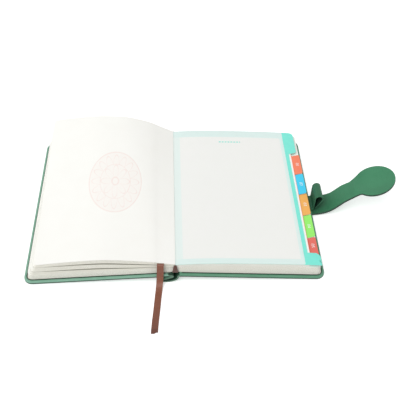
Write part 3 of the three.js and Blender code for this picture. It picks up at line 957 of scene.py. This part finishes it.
def flat_leaf(reach, corner=LEAF_CORNER, columns=COLUMNS, rows=()):
    obj = plane(0, reach, HALF_LEAF)
    edit()
    round_corners(corner, lambda p: p.x > reach - MM)
    cut(columns, rows)
    leave()
    return obj


def bend(obj, height):
    """Lifts each column of vertices to height(x), and draws the inner edge to its place."""
    only(obj)
    edit()
    mesh = bmesh.from_edit_mesh(obj.data)
    for x in sorted({round(v.co.x, 7) for v in mesh.verts}):
        pick(lambda p: abs(p.x - x) < TOUCH)
        start = inner_edge(height(x)) if x < TOUCH else 0
        move(start, 0, height(x))
    leave()


def copy_of(obj):
    only(obj)
    bpy.ops.object.duplicate()
    return bpy.context.object


def join_copies(flat, count, shape):
    """Copies a flat leaf, gives each copy its shape(leaf, number) and joins them."""
    leaves = []
    for number in range(count):
        leaf = copy_of(flat)
        shape(leaf, number)
        leaves.append(leaf)
    bpy.data.objects.remove(flat)
    only(leaves[0])
    for leaf in leaves:
        leaf.select_set(True)
    bpy.ops.object.join()
    return bpy.context.object


# %% [markdown]
# ## Signatures
# Each signature is a stack of leaves. Near the spine the leaves of one signature draw together,
# because they share one fold. One block with lines drawn on its edge would do from far away, but
# single leaves catch the light. They are copied from one flat leaf, bent one by one, joined, and
# given the thickness of paper with a darker cut edge.

# %% Signatures
LEAVES_IN_SIGNATURE = 8
LEAF_THICKNESS = 0.15 * MM
FORE_EDGE_STEP = 0.25 * MM
FOLD_REACH = 7 * MM
FOLD_SPREAD = 0.45


def page_height(level, middle, x, top):
    """Height of a leaf at a share of the block, drawn to its signature's middle near the fold."""
    share = min(1, max(0, x / FOLD_REACH))
    near = middle + (level - middle) * (FOLD_SPREAD + (1 - FOLD_SPREAD) * share)
    return BLOCK_FLOOR + near * (top(x) - BLOCK_FLOOR)


def make_signature(side, number, count, top):
    middle = (number - 0.5) / count

    def shape(leaf, i):
        level = (number - 1) / count + (i + 0.5) / LEAVES_IN_SIGNATURE / count
        bend(leaf, lambda x: page_height(level, middle, x, top))

    flat = flat_leaf(LEAF_REACH + MM - FORE_EDGE_STEP * number)
    obj = join_copies(flat, LEAVES_IN_SIGNATURE, shape)
    coat(obj, page_paper, page_edge)
    modify(obj, "SOLIDIFY", thickness=LEAF_THICKNESS, offset=0, material_offset_rim=1)
    settle(obj, side)
    half = HALF_NAME[side]
    finish(obj, f"{half}_leaves_{number}", HALF_BODY[side], [f"{half}_signature_{number}"])


for side, count, top in ((1, 5, back_block_top), (-1, 3, front_block_top)):
    for number in range(1, count + 1):
        make_signature(side, number, count, top)
    print(HALF_NAME[side], "signatures:", count)

# %% [markdown]
# ## Index dividers
# A divider starts as a plane as wide as its tab reaches. Cuts mark the tab, and the faces beside
# it are deleted, so the flat map stays true for the print. The free edge of a tab slants: it is
# moved towards the head, and only the last tab slants both ways. Small plain numbers mark the
# tabs.

# %% Index dividers
PITCH = 0.55 * MM
CARD_THICKNESS = 0.25 * MM
TAB_HEIGHT = 32.2 * MM
FIRST_TAB = 62.5 * MM
TAB_SLANT = 3.4 * MM
TAB_CORNER = 2 * MM
TAB_CORNER_CUTS = 4
TAB_GAP = 0.2 * MM
MINT_EDGE = 132.4 * MM
MINT_HEAD_REACH = 141.4 * MM
MINT_HEAD_TAB = 39.5 * MM
MINT_TAIL_TAB = 16.5 * MM
LAST_TAB = 1 + len(INKS)


def divider_height(order):
    return lambda x: back_top(x) - PITCH * order - CARD_THICKNESS / 2


def delete_faces(test):
    pick(test, "FACE")
    bpy.ops.mesh.delete(type="FACE")


def slant(by, test):
    """Moves the picked corners of a tab up or down the page."""
    pick(test)
    move(y=by)


def finish_card(obj, name, order):
    bend(obj, divider_height(order))
    coat(obj, cards[name], page_edge)
    modify(obj, "SOLIDIFY", thickness=CARD_THICKNESS, offset=0, material_offset_rim=1)
    settle(obj, 1)
    finish(obj, f"{name}_card", "back_cover", [f"{name}_divider"])


# %% Mint divider
def make_mint_divider():
    """The divider with two tabs. They stand where the plane is left wide, at the head and the tail."""
    head, tail = HALF_LEAF - MINT_HEAD_TAB, -HALF_LEAF + MINT_TAIL_TAB
    head_end, tail_end = MINT_HEAD_REACH - NEAR, LEAF_REACH - NEAR
    beside = 5 * MM
    obj = plane(0, LEAF_REACH, HALF_LEAF)
    edit()
    cut(COLUMNS + [MINT_EDGE / MM, MINT_HEAD_REACH / MM], [tail / MM, head / MM])
    delete_faces(lambda p: p.x > MINT_EDGE and tail < p.y < head)
    delete_faces(lambda p: p.x > MINT_HEAD_REACH and p.y > head)
    slant(TAB_SLANT, lambda p: p.x > head_end and abs(p.y - head) < MM)
    slant(-TAB_SLANT, lambda p: p.x > tail_end and abs(p.y - tail) < MM)
    round_corners(TAB_CORNER, lambda p: p.x > head_end and 0 < p.y < head + beside, TAB_CORNER_CUTS)
    round_corners(TAB_CORNER, lambda p: p.x > tail_end and tail - beside < p.y < 0, TAB_CORNER_CUTS)
    round_corners(LEAF_CORNER, lambda p: p.x > head_end and abs(p.y) > HALF_LEAF - NEAR)
    leave()
    finish_card(obj, "mint", 1)


make_mint_divider()
print("mint divider reaches", LEAF_REACH)

# %% Dividers with one tab
NUMBER_SIZE = 5.5 * MM
NUMBER_LIFT = 0.03 * MM
TAIL_GAP = 0.3 * MM


def tab_number(number, middle, order):
    """A small plain figure lying on the tab."""
    deselect()
    bpy.ops.object.text_add()
    text = bpy.context.object
    text.data.body = f"{number:02d}"
    text.data.size = NUMBER_SIZE
    text.data.align_x = "CENTER"
    text.data.align_y = "CENTER"
    bpy.ops.object.convert(target="MESH")
    x = (DIVIDER_EDGE + TAB_REACH) / 2
    text.rotation_euler = (0, 0, -math.pi / 2)
    text.location = (x, middle, divider_height(order)(x) + CARD_THICKNESS / 2 + NUMBER_LIFT)
    apply_place(text)
    coat(text, white_ink)
    return text


def make_divider(name, order):
    head = FIRST_TAB - TAB_HEIGHT * (order - 2)
    tail = max(head - TAB_HEIGHT, -HALF_LEAF + MINT_TAIL_TAB - TAIL_GAP)
    free = TAB_REACH - NEAR
    obj = plane(0, TAB_REACH, HALF_LEAF)
    edit()
    cut(COLUMNS + [DIVIDER_EDGE / MM], [(tail + TAB_GAP) / MM, (head - TAB_GAP) / MM])
    delete_faces(lambda p: p.x > DIVIDER_EDGE and not tail < p.y < head)
    slant(TAB_SLANT, lambda p: p.x > free)
    if order == LAST_TAB:
        slant(-2 * TAB_SLANT, lambda p: p.x > free and p.y < (head + tail) / 2)
    round_corners(TAB_CORNER, lambda p: p.x > free, TAB_CORNER_CUTS)
    round_corners(LEAF_CORNER, lambda p: abs(p.x - DIVIDER_EDGE) < NEAR and abs(p.y) > HALF_LEAF - MM)
    leave()
    finish_card(obj, name, order)
    figure = tab_number(order - 1, (head + tail + TAB_SLANT) / 2, order)
    settle(figure, 1)
    finish(figure, f"{name}_number", "back_cover")


for order, name in enumerate(INKS, 2):
    make_divider(name, order)
print("dividers made:", LAST_TAB)

# %% [markdown]
# ## Tracing leaf
# The translucent leaf lies over the dividers and ends before their tabs. It is a flat leaf like
# the others, bent to the same lie. Its thickness gives it an underside, which gets the clearer
# of the two finishes.

# %% Tracing leaf
VELLUM_ORDER = 0.45


def make_vellum():
    obj = flat_leaf(VELLUM_REACH, TAB_CORNER, COLUMNS[:-1])
    bend(obj, divider_height(VELLUM_ORDER))
    coat(obj, tracing_paper, clear_side)
    modify(obj, "SOLIDIFY", thickness=LEAF_THICKNESS, offset=0, material_offset=1)
    settle(obj, 1)
    finish(obj, "tracing_leaf", "back_cover", ["vellum_leaf"])
    print("tracing leaf reaches", VELLUM_REACH)


make_vellum()

# %% [markdown]
# ## Raised leaves
# The loose leaves of the front half spring up from the gutter, highest at the head. Two lines
# give the lie of the top leaf, one along the tail and one along the head. The other leaves fan
# out between it and the flat block, in three packs with a gap between them, and the leaf under
# each gap is painted darker, as painted shade for the gap. A formula gives each vertex its place
# here, because no cut or bend tool could follow a leaf that is curved both ways.

# %% The lie of the raised leaves
RAISED_REACH = 137.2 * MM
TAIL_LINE = [(0, 0), (0.11, 2.6), (0.18, 4.5), (0.45, 8.1), (0.6, 7.9), (0.81, 5.3), (1, 2.3)]
HEAD_LINE = [(0, 0), (0.11, 7.7), (0.2, 14.2), (0.365, 21.3), (0.495, 23.2), (0.64, 23.6),
             (0.76, 22), (0.94, 19), (1, 16.8)]
HEAD_BULGE = 1.2
RAISED_TOP = GUTTER_HEIGHT - 0.15 * MM
CLEARANCE = 0.3 * MM


def line_at(line, share):
    """A point on the smooth curve through the line's points. share counts along them."""
    last = len(line) - 1
    at = min(share * last, last - 1e-9)
    i = int(at)
    t = at - i
    a, b, c, d = (Vector(line[max(0, min(last, i + k))]) for k in (-1, 0, 1, 2))
    v0, v1 = (c - a) / 2, (d - b) / 2
    return (2 * b - 2 * c + v0 + v1) * t ** 3 + (-3 * b + 3 * c - 2 * v0 - v1) * t ** 2 + v0 * t + b


def leaned(across, height):
    """Distance from the gutter and height above the table of a place on the leaning front half."""
    return Vector((across * math.cos(LEAN) + height * math.sin(LEAN),
                   CROWN - across * math.sin(LEAN) + height * math.cos(LEAN)))


def raised_place(place, up):
    """Where a place on the flat leaf comes to lie. up is the leaf's share of the full rise."""
    along = place.x / LEAF_REACH
    head = (place.y + HALF_LEAF) / (2 * HALF_LEAF)
    start = inner_edge(front_block_top(0))
    across = start + (LEAF_REACH - MM - start) * along
    low = leaned(across, front_block_top(across) + CLEARANCE)
    tail_point, head_point = line_at(TAIL_LINE, along), line_at(HEAD_LINE, along)
    mixed = tail_point + (head_point - tail_point) * head ** HEAD_BULGE
    high = Vector((GUTTER_GAP + mixed.x * RAISED_REACH, RAISED_TOP + mixed.y * MM))
    point = low + (high - low) * up
    return Vector((GUTTER_X - point.x, -HALF_LEAF + 2 * HALF_LEAF * head, point.y))


print("raised leaves reach", round(max(y for x, y in HEAD_LINE) * MM + RAISED_TOP, 4), "above the table")

# %% Packs of raised leaves
PACK_BOUNDS = [0, 0.29, 0.71, 1]
PACK_LEAVES = [16, 22, 16]
PACK_GAP, TOP_GAP = 0.09, 0.03
GAP_END = 0.92
GAP_ROUNDNESS = 0.7
RAISED_THICKNESS = 0.2 * MM
RAISED_COLUMNS, RAISED_ROWS = range(4, 144, 5), range(-90, 105, 15)


def flat_raised_leaf():
    """A flat leaf cut both ways, which all the raised leaves start from."""
    return flat_leaf(LEAF_REACH, columns=RAISED_COLUMNS, rows=RAISED_ROWS)


def lay(obj, group, share):
    """Puts a leaf in its pack. The packs stand apart half way along and meet at both ends."""
    low, high = PACK_BOUNDS[group], PACK_BOUNDS[group + 1]
    for vertex in obj.data.vertices:
        along = vertex.co.x / LEAF_REACH
        apart = PACK_GAP * math.sin(math.pi * min(1, along / GAP_END)) ** GAP_ROUNDNESS
        if group == len(PACK_LEAVES) - 1:
            apart = TOP_GAP
        vertex.co = raised_place(vertex.co, low + (high - apart - low) * share)


def finish_raised(obj, name, node_name):
    """Thickens the leaves, hangs them on the front half and gives the piece its own mesh."""
    face_outwards(obj)
    modify(obj, "SOLIDIFY", thickness=RAISED_THICKNESS, offset=0, material_offset_rim=1)
    finish(obj, name, "front_half", [node_name])
    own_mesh(obj)


def make_pack(group, name, node_name):
    count = PACK_LEAVES[group]
    last_pack = group == len(PACK_LEAVES) - 1

    def shape(leaf, i):
        lay(leaf, group, (i + 0.5) / count)
        coat(leaf, page_paper, page_edge, shaded_paper, shaded_paper)
        # Painted shade: the last leaf under a gap gets the darker paper.
        if i == count - 1 and not last_pack:
            paint(leaf, 2, lambda p, n: True)

    finish_raised(join_copies(flat_raised_leaf(), count, shape), name, node_name)
    print(name, "leaves", count)


def make_picture_leaf():
    obj = flat_raised_leaf()
    for vertex in obj.data.vertices:
        vertex.co = raised_place(vertex.co, 1)
    coat(obj, medallion, page_edge)
    finish_raised(obj, "picture_leaf", "front_top_leaf")


make_pack(0, "raised_leaves_low", "raised_leaves_lower")
make_pack(1, "raised_leaves_mid", "raised_leaves_middle")
make_pack(2, "raised_leaves_high", "raised_leaves_upper")
make_picture_leaf()

# %% [markdown]
# ## Spine leather
# Open flat, the spine folds up under the gutter in an S. The front part runs out of the front
# cover and folds back under it, and the back part curls round and comes up to the back cover.
# Each part is a strip pushed out along its fold, thickened, with rounded edges. A closed outline
# pushed out sideways would give the same shape, but a strip has only one line to get right.

# %% Spine leather
SPINE_HALF = 108.3 * MM
SPINE_THICKNESS = 1.7 * MM
SPINE_ROUNDING = 0.3 * MM
FRONT_FOLD = [(-8.5, 9.05), (-6, 9.3), (-4, 9.3), (-2.7, 8.8), (-2.3, 7.8), (-3.4, 7.0), (-6, 6.0),
              (-9, 4.8), (-12.4, 3.7)]
BACK_FOLD = [(6, 9.3), (4.2, 9.4), (2.9, 8.8), (2.7, 7.2), (2, 5.4), (0.4, 3.6), (-2.4, 2.1),
             (-6, 1.2), (-9.5, 1), (-11.8, 1.2), (-12.7, 1.9), (-12.6, 2.7)]


def round_sharp_edges(obj, width, angle):
    modify(obj, "BEVEL", width=width, segments=2, limit_method="ANGLE", angle_limit=math.radians(angle))


def make_spine(side, line, sides):
    """One strip of the spine. sides gives the finishes of its two faces."""
    half = HALF_NAME[side]
    route = smooth_route([Vector((x * MM + GUTTER_X, 0, z * MM)) for x, z in line], 3)
    obj = strip(route, 2 * SPINE_HALF, cuts=8)
    coat(obj, *sides, cut_and_shaded_leather)
    modify(obj, "SOLIDIFY", thickness=SPINE_THICKNESS, offset=0, material_offset=1, material_offset_rim=2)
    face_outwards(obj)
    round_sharp_edges(obj, SPINE_ROUNDING, 50)
    finish(obj, f"spine_fold_{half}", None, [f"spine_leather_{half}"], smooth=50)
    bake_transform(obj)
    print("spine strip", half, "rows", len(route))


# One face of each strip gets the dark leather as painted shade, for the fold under the gutter.
make_spine(-1, FRONT_FOLD, (case_leather, edge_paint_and_shade))
make_spine(1, BACK_FOLD, (edge_paint_and_shade, case_leather))

# %% [markdown]
# ## End bands
# At the head and the tail, a narrow woven band covers the folds of the signatures on each side
# of the gutter. Open, the two bands lean apart like an upside-down V. The weave is in the
# finish, so each one is a block with its top drawn in and its edges rounded.

# %% End bands
BAND_LOW = BLOCK_FLOOR + 0.4 * MM
BAND_HIGH = BLOCK_HEIGHT - 0.9 * MM
BAND_DEPTH = 0.9 * MM
BAND_FOOT = (-0.12 * MM, 2.7 * MM)
BAND_TOP = (-0.62 * MM, 0.6 * MM)
BAND_TOP_DEPTH = 0.7
BAND_ROUNDING = 0.12 * MM
BAND_GAP = 0.3 * MM


def make_band(side, end):
    """One leg: a block whose top is drawn in to a narrow end by the gutter, with rounded edges."""
    deselect()
    y = end * (HALF_LEAF + BAND_GAP + BAND_DEPTH / 2)
    bpy.ops.mesh.primitive_cube_add(size=1, location=(sum(BAND_FOOT) / 2, y, (BAND_LOW + BAND_HIGH) / 2))
    obj = bpy.context.object
    obj.scale = (BAND_FOOT[1] - BAND_FOOT[0], BAND_DEPTH, BAND_HIGH - BAND_LOW)
    apply_place(obj)
    edit()
    pick(lambda p: p.z > BAND_HIGH - NEAR)
    share = (BAND_TOP[1] - BAND_TOP[0]) / (BAND_FOOT[1] - BAND_FOOT[0])
    bpy.ops.transform.resize(value=(share, BAND_TOP_DEPTH, 1),
                             center_override=(BAND_FOOT[0], y - end * BAND_DEPTH / 2, 0))
    move(BAND_TOP[0] - BAND_FOOT[0])
    pick_all()
    bpy.ops.mesh.bevel(offset=BAND_ROUNDING, segments=2)
    leave()
    coat(obj, band_cloth)
    settle(obj, side)
    name = f"{'head' if end > 0 else 'tail'}_band_{HALF_NAME[side]}"
    finish(obj, f"{name}_woven", HALF_BODY[side], [name], smooth=60)
    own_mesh(obj)
    print(name, "made")


for side in (-1, 1):
    for end in (-1, 1):
        make_band(side, end)

# %% [markdown]
# ## Strap
# The strap is two layers of leather that leave the back cover at its fore edge, rise and end in
# a round pad. The root is a strip along its route. The pad starts as a circle with rings inset
# in it, and the inner rings are pushed in for the dish. Part of its rim is extruded down the
# neck, row by row, and each row gets its own width, so the strap narrows towards the pad. A disc
# joined to a strip would show a seam, and one sheet runs smoothly from the pad into the neck.

# %% Strap root
STRAP_WIDTH = 27 * MM
STRAP_Y = -4 * MM
STRAP_THICKNESS = 2.2 * MM
STRAP_LINE = [(-3, 2.5), (-0.5, 2.8), (1.6, 3), (7.8, 3.9), (13.8, 5.6), (18.8, 8.1),
              (23.8, 12.1), (28.4, 16.7), (32.6, 20.9), (37.6, 24.7), (42.8, 28.2), (49.2, 32.3)]
ROOT_LAST, KNEE, ROWS_PER_POINT = 4, 8, 4
STRAP_POINTS = [Vector((STRAP_X + x * MM, STRAP_Y, z * MM)) for x, z in STRAP_LINE]
STRAP_ROUTE = smooth_route(STRAP_POINTS, ROWS_PER_POINT)
ROOT_ROWS = ROWS_PER_POINT * ROOT_LAST


def make_strap_root():
    obj = strip(STRAP_ROUTE[:ROOT_ROWS + 1], STRAP_WIDTH, cuts=10)
    coat(obj, strap_leather, strap_edge)
    modify(obj, "SOLIDIFY", thickness=STRAP_THICKNESS, offset=1, material_offset_rim=1)
    face_outwards(obj)
    finish(obj, "strap_root_leather", None, ["strap_root"], smooth=50)
    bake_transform(obj)
    print("strap root ends at x", round(STRAP_POINTS[ROOT_LAST].x, 4))


make_strap_root()

# %% Pad with its dish
PAD_RADIUS = 22 * MM
PAD_SLOPE = math.radians(19)
PAD_REACH = 17 * MM
PAD_VERTICES = 64
PAD_Y = -3 * MM
PAD_MIDDLE = Vector((STRAP_POINTS[-1].x + PAD_REACH * math.cos(PAD_SLOPE), PAD_Y,
                     STRAP_POINTS[-1].z + PAD_REACH * math.sin(PAD_SLOPE)))
DISH_RINGS = ((1.5, 0), (2.5, 0.3), (4, 0.9), (4, 0.8), (4, 0.4))


def pad_sheet():
    """The pad with its dish, as one sheet with no thickness yet."""
    deselect()
    bpy.ops.mesh.primitive_circle_add(vertices=PAD_VERTICES, radius=PAD_RADIUS, fill_type="NGON")
    edit()
    for ring, sink in DISH_RINGS:
        pick(lambda p: p.xy.length < NEAR, "FACE")
        bpy.ops.mesh.inset(thickness=ring * MM)
        move(z=-sink * MM)
    pick_all()
    bpy.ops.transform.rotate(value=PAD_SLOPE, orient_axis="Y", center_override=(0, 0, 0))
    move(*PAD_MIDDLE)
    leave()
    return bpy.context.object


print("pad middle", [round(v, 4) for v in PAD_MIDDLE])

# %% Neck
NECK_STEPS = 7
RIM_MARGIN = 0.4 * MM
MIDDLE_WIDTH, NECK_WIDTH = 25 * MM, 23.5 * MM
MIDDLE_FROM = STRAP_X + 23 * MM
NECK_FROM, NECK_TO = STRAP_X + 33 * MM, STRAP_X + 46 * MM


def width_at(x):
    """The strap's width: full at the root, less along the middle, and least at the neck."""
    if x > NECK_FROM:
        share = min(1, (x - NECK_FROM) / (NECK_TO - NECK_FROM))
        return MIDDLE_WIDTH + (NECK_WIDTH - MIDDLE_WIDTH) * share
    root_end = STRAP_POINTS[ROOT_LAST].x
    share = min(1, max(0, (x - root_end) / (MIDDLE_FROM - root_end)))
    return STRAP_WIDTH + (MIDDLE_WIDTH - STRAP_WIDTH) * share


def neck_rows():
    """Places of the neck's rows, from the pad down to the root."""
    end = PAD_MIDDLE.x - PAD_RADIUS - MM
    return [point for point in reversed(STRAP_ROUTE[ROOT_ROWS:]) if point.x < end]


def extrude_neck(obj):
    """Pulls part of the pad's rim down the route. The strap's near edge stays straight."""
    only(obj)
    edit()
    half = PAD_RADIUS * math.sin(NECK_STEPS * math.tau / PAD_VERTICES)
    rim = PAD_RADIUS - RIM_MARGIN
    pick(lambda p: p.x < PAD_MIDDLE.x and (p - PAD_MIDDLE).length > rim and abs(p.y - PAD_Y) < half, "EDGE")
    width, row_y = 2 * half, PAD_Y
    for place in neck_rows():
        target = width_at(place.x)
        target_y = STRAP_Y - (STRAP_WIDTH - target) / 2
        bpy.ops.mesh.extrude_edges_move()
        bpy.ops.transform.resize(value=(0, target / width, 0), center_override=(place.x, row_y, place.z))
        move(y=target_y - row_y)
        width, row_y = target, target_y
    leave()


print("neck rows", len(neck_rows()))

# %% Strap end and its magnet
LINING_THICKNESS = 0.6 * MM
MAGNET_RADIUS = 6 * MM
MAGNET_THICKNESS = 0.55 * MM
MAGNET_DEPTH = 0.8 * MM


def finish_layer(obj, thickness, name, node_name):
    """Thickens one layer of the strap's end downwards."""
    modify(obj, "SOLIDIFY", thickness=thickness, offset=-1, material_offset_rim=1)
    face_outwards(obj)
    finish(obj, name, None, [node_name], smooth=50)
    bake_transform(obj)
    print(name, "faces", len(obj.data.polygons))


def make_strap_end():
    """Both layers start as the same sheet, and the outside one lies under the lining."""
    sheet = pad_sheet()
    extrude_neck(sheet)
    modify(sheet, "SUBSURF", levels=1, render_levels=1, boundary_smooth="PRESERVE_CORNERS")
    coat(sheet, strap_leather, strap_edge)
    lining = copy_of(sheet)
    for vertex in sheet.data.vertices:
        vertex.co.z -= LINING_THICKNESS
    outside = STRAP_THICKNESS - LINING_THICKNESS
    finish_layer(sheet, outside, "strap_end_outside", "strap_end_leather")
    finish_layer(lining, LINING_THICKNESS, "strap_end_inside", "strap_end_lining")


def make_magnet():
    """The steel disc between the pad's two layers."""
    depth = sum(sink for ring, sink in DISH_RINGS) * MM + LINING_THICKNESS + MAGNET_DEPTH
    facing = Vector((-math.sin(PAD_SLOPE), 0, math.cos(PAD_SLOPE)))
    deselect()
    bpy.ops.mesh.primitive_cylinder_add(vertices=48, radius=MAGNET_RADIUS, depth=MAGNET_THICKNESS,
                                        location=PAD_MIDDLE - facing * depth, rotation=(0, -PAD_SLOPE, 0))
    obj = bpy.context.object
    apply_place(obj)
    coat(obj, steel)
    finish(obj, "magnet_disc", "strap_end", ["clasp_magnet"])


make_strap_end()
make_magnet()

# %% [markdown]
# ## Pen loop
# A strip of the same leather is folded into a loop at the root of the strap. Seen from the
# tail it is a teardrop: two straight sides that leave the stitched foot and a round top. A
# squeezed ring would be too round at its foot. So the route is worked out: the sides touch the
# round top as tangents, and the fold has no corner.

# %% Pen loop
LOOP_LENGTH = 22 * MM
LOOP_Y = -2 * MM
LOOP_RADIUS = 4.1 * MM
LOOP_SHIFT = 1.5 * MM
LOOP_WALL = 1 * MM
LOOP_HEIGHT = 21.5 * MM
LOOP_LEAN = math.radians(15)
LOOP_STEPS = 16
LOOP_ROUNDING = 0.2 * MM
FLANGE_REACH, FLANGE_DROP = 1.5 * MM, 0.2 * MM
FOOT_RISE, FOOT_OVERLAP = 0.4 * MM, 0.6 * MM
FOOT_HALF = 0.55 * LOOP_WALL


def loop_route():
    """From the stitched flange up one side, round the top and down the other side."""
    low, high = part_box("pen_loop")
    top = LOOP_RADIUS + LOOP_WALL / 2
    middle = Vector((high.x + LOOP_SHIFT - top, LOOP_Y, high.z - top))
    axis = Vector((math.sin(LOOP_LEAN), 0, math.cos(LOOP_LEAN)))
    foot = middle - axis * (LOOP_HEIGHT - LOOP_RADIUS - LOOP_WALL - FOOT_OVERLAP)
    spread = math.asin(LOOP_RADIUS / (middle - foot).length)
    towards = math.atan2(axis.z, axis.x)
    left, right = towards + math.pi / 2 + spread, towards - math.pi / 2 - spread
    turns = [left + (right - left) * i / LOOP_STEPS for i in range(LOOP_STEPS + 1)]
    arc = [middle + LOOP_RADIUS * Vector((math.cos(a), 0, math.sin(a))) for a in turns]
    side = Vector((axis.z, 0, -axis.x)) * FOOT_HALF
    rise = axis * FOOT_RISE
    flange = [Vector((low.x + x, LOOP_Y, foot.z - FLANGE_DROP)) for x in (0, FLANGE_REACH)]
    return flange + [foot - side + rise] + arc + [foot + side + rise]


def make_pen_loop():
    obj = strip(loop_route(), LOOP_LENGTH, cuts=6)
    # Painted shade: the inside of the loop gets the dark leather, the outside the strap's leather.
    coat(obj, edge_paint_and_shade, strap_leather)
    modify(obj, "SOLIDIFY", thickness=LOOP_WALL, offset=0, material_offset=1, material_offset_rim=1)
    face_outwards(obj)
    round_sharp_edges(obj, LOOP_ROUNDING, 60)
    finish(obj, "pen_loop_leather", "back_cover", ["pen_loop"], smooth=50)
    heights = [v.co.z for v in obj.data.vertices]
    print("pen loop from", round(min(heights), 4), "to", round(max(heights), 4))


make_pen_loop()

# %% [markdown]
# ## Pieces that keep their shape
# The boards, the endpapers and the clasp's plate are right as they are in the frame, so they
# only get their finish.

# %% Finishes of the kept pieces
def dress(name, material):
    obj = frame["nodes"][name]
    obj.data.materials.clear()
    coat(obj, material)


for half in HALF_NAME.values():
    dress(f"{half}_cover_board", board)
    dress(f"{half}_endpaper", end_paper)
dress("clasp_plate", steel)
print("kept pieces dressed")
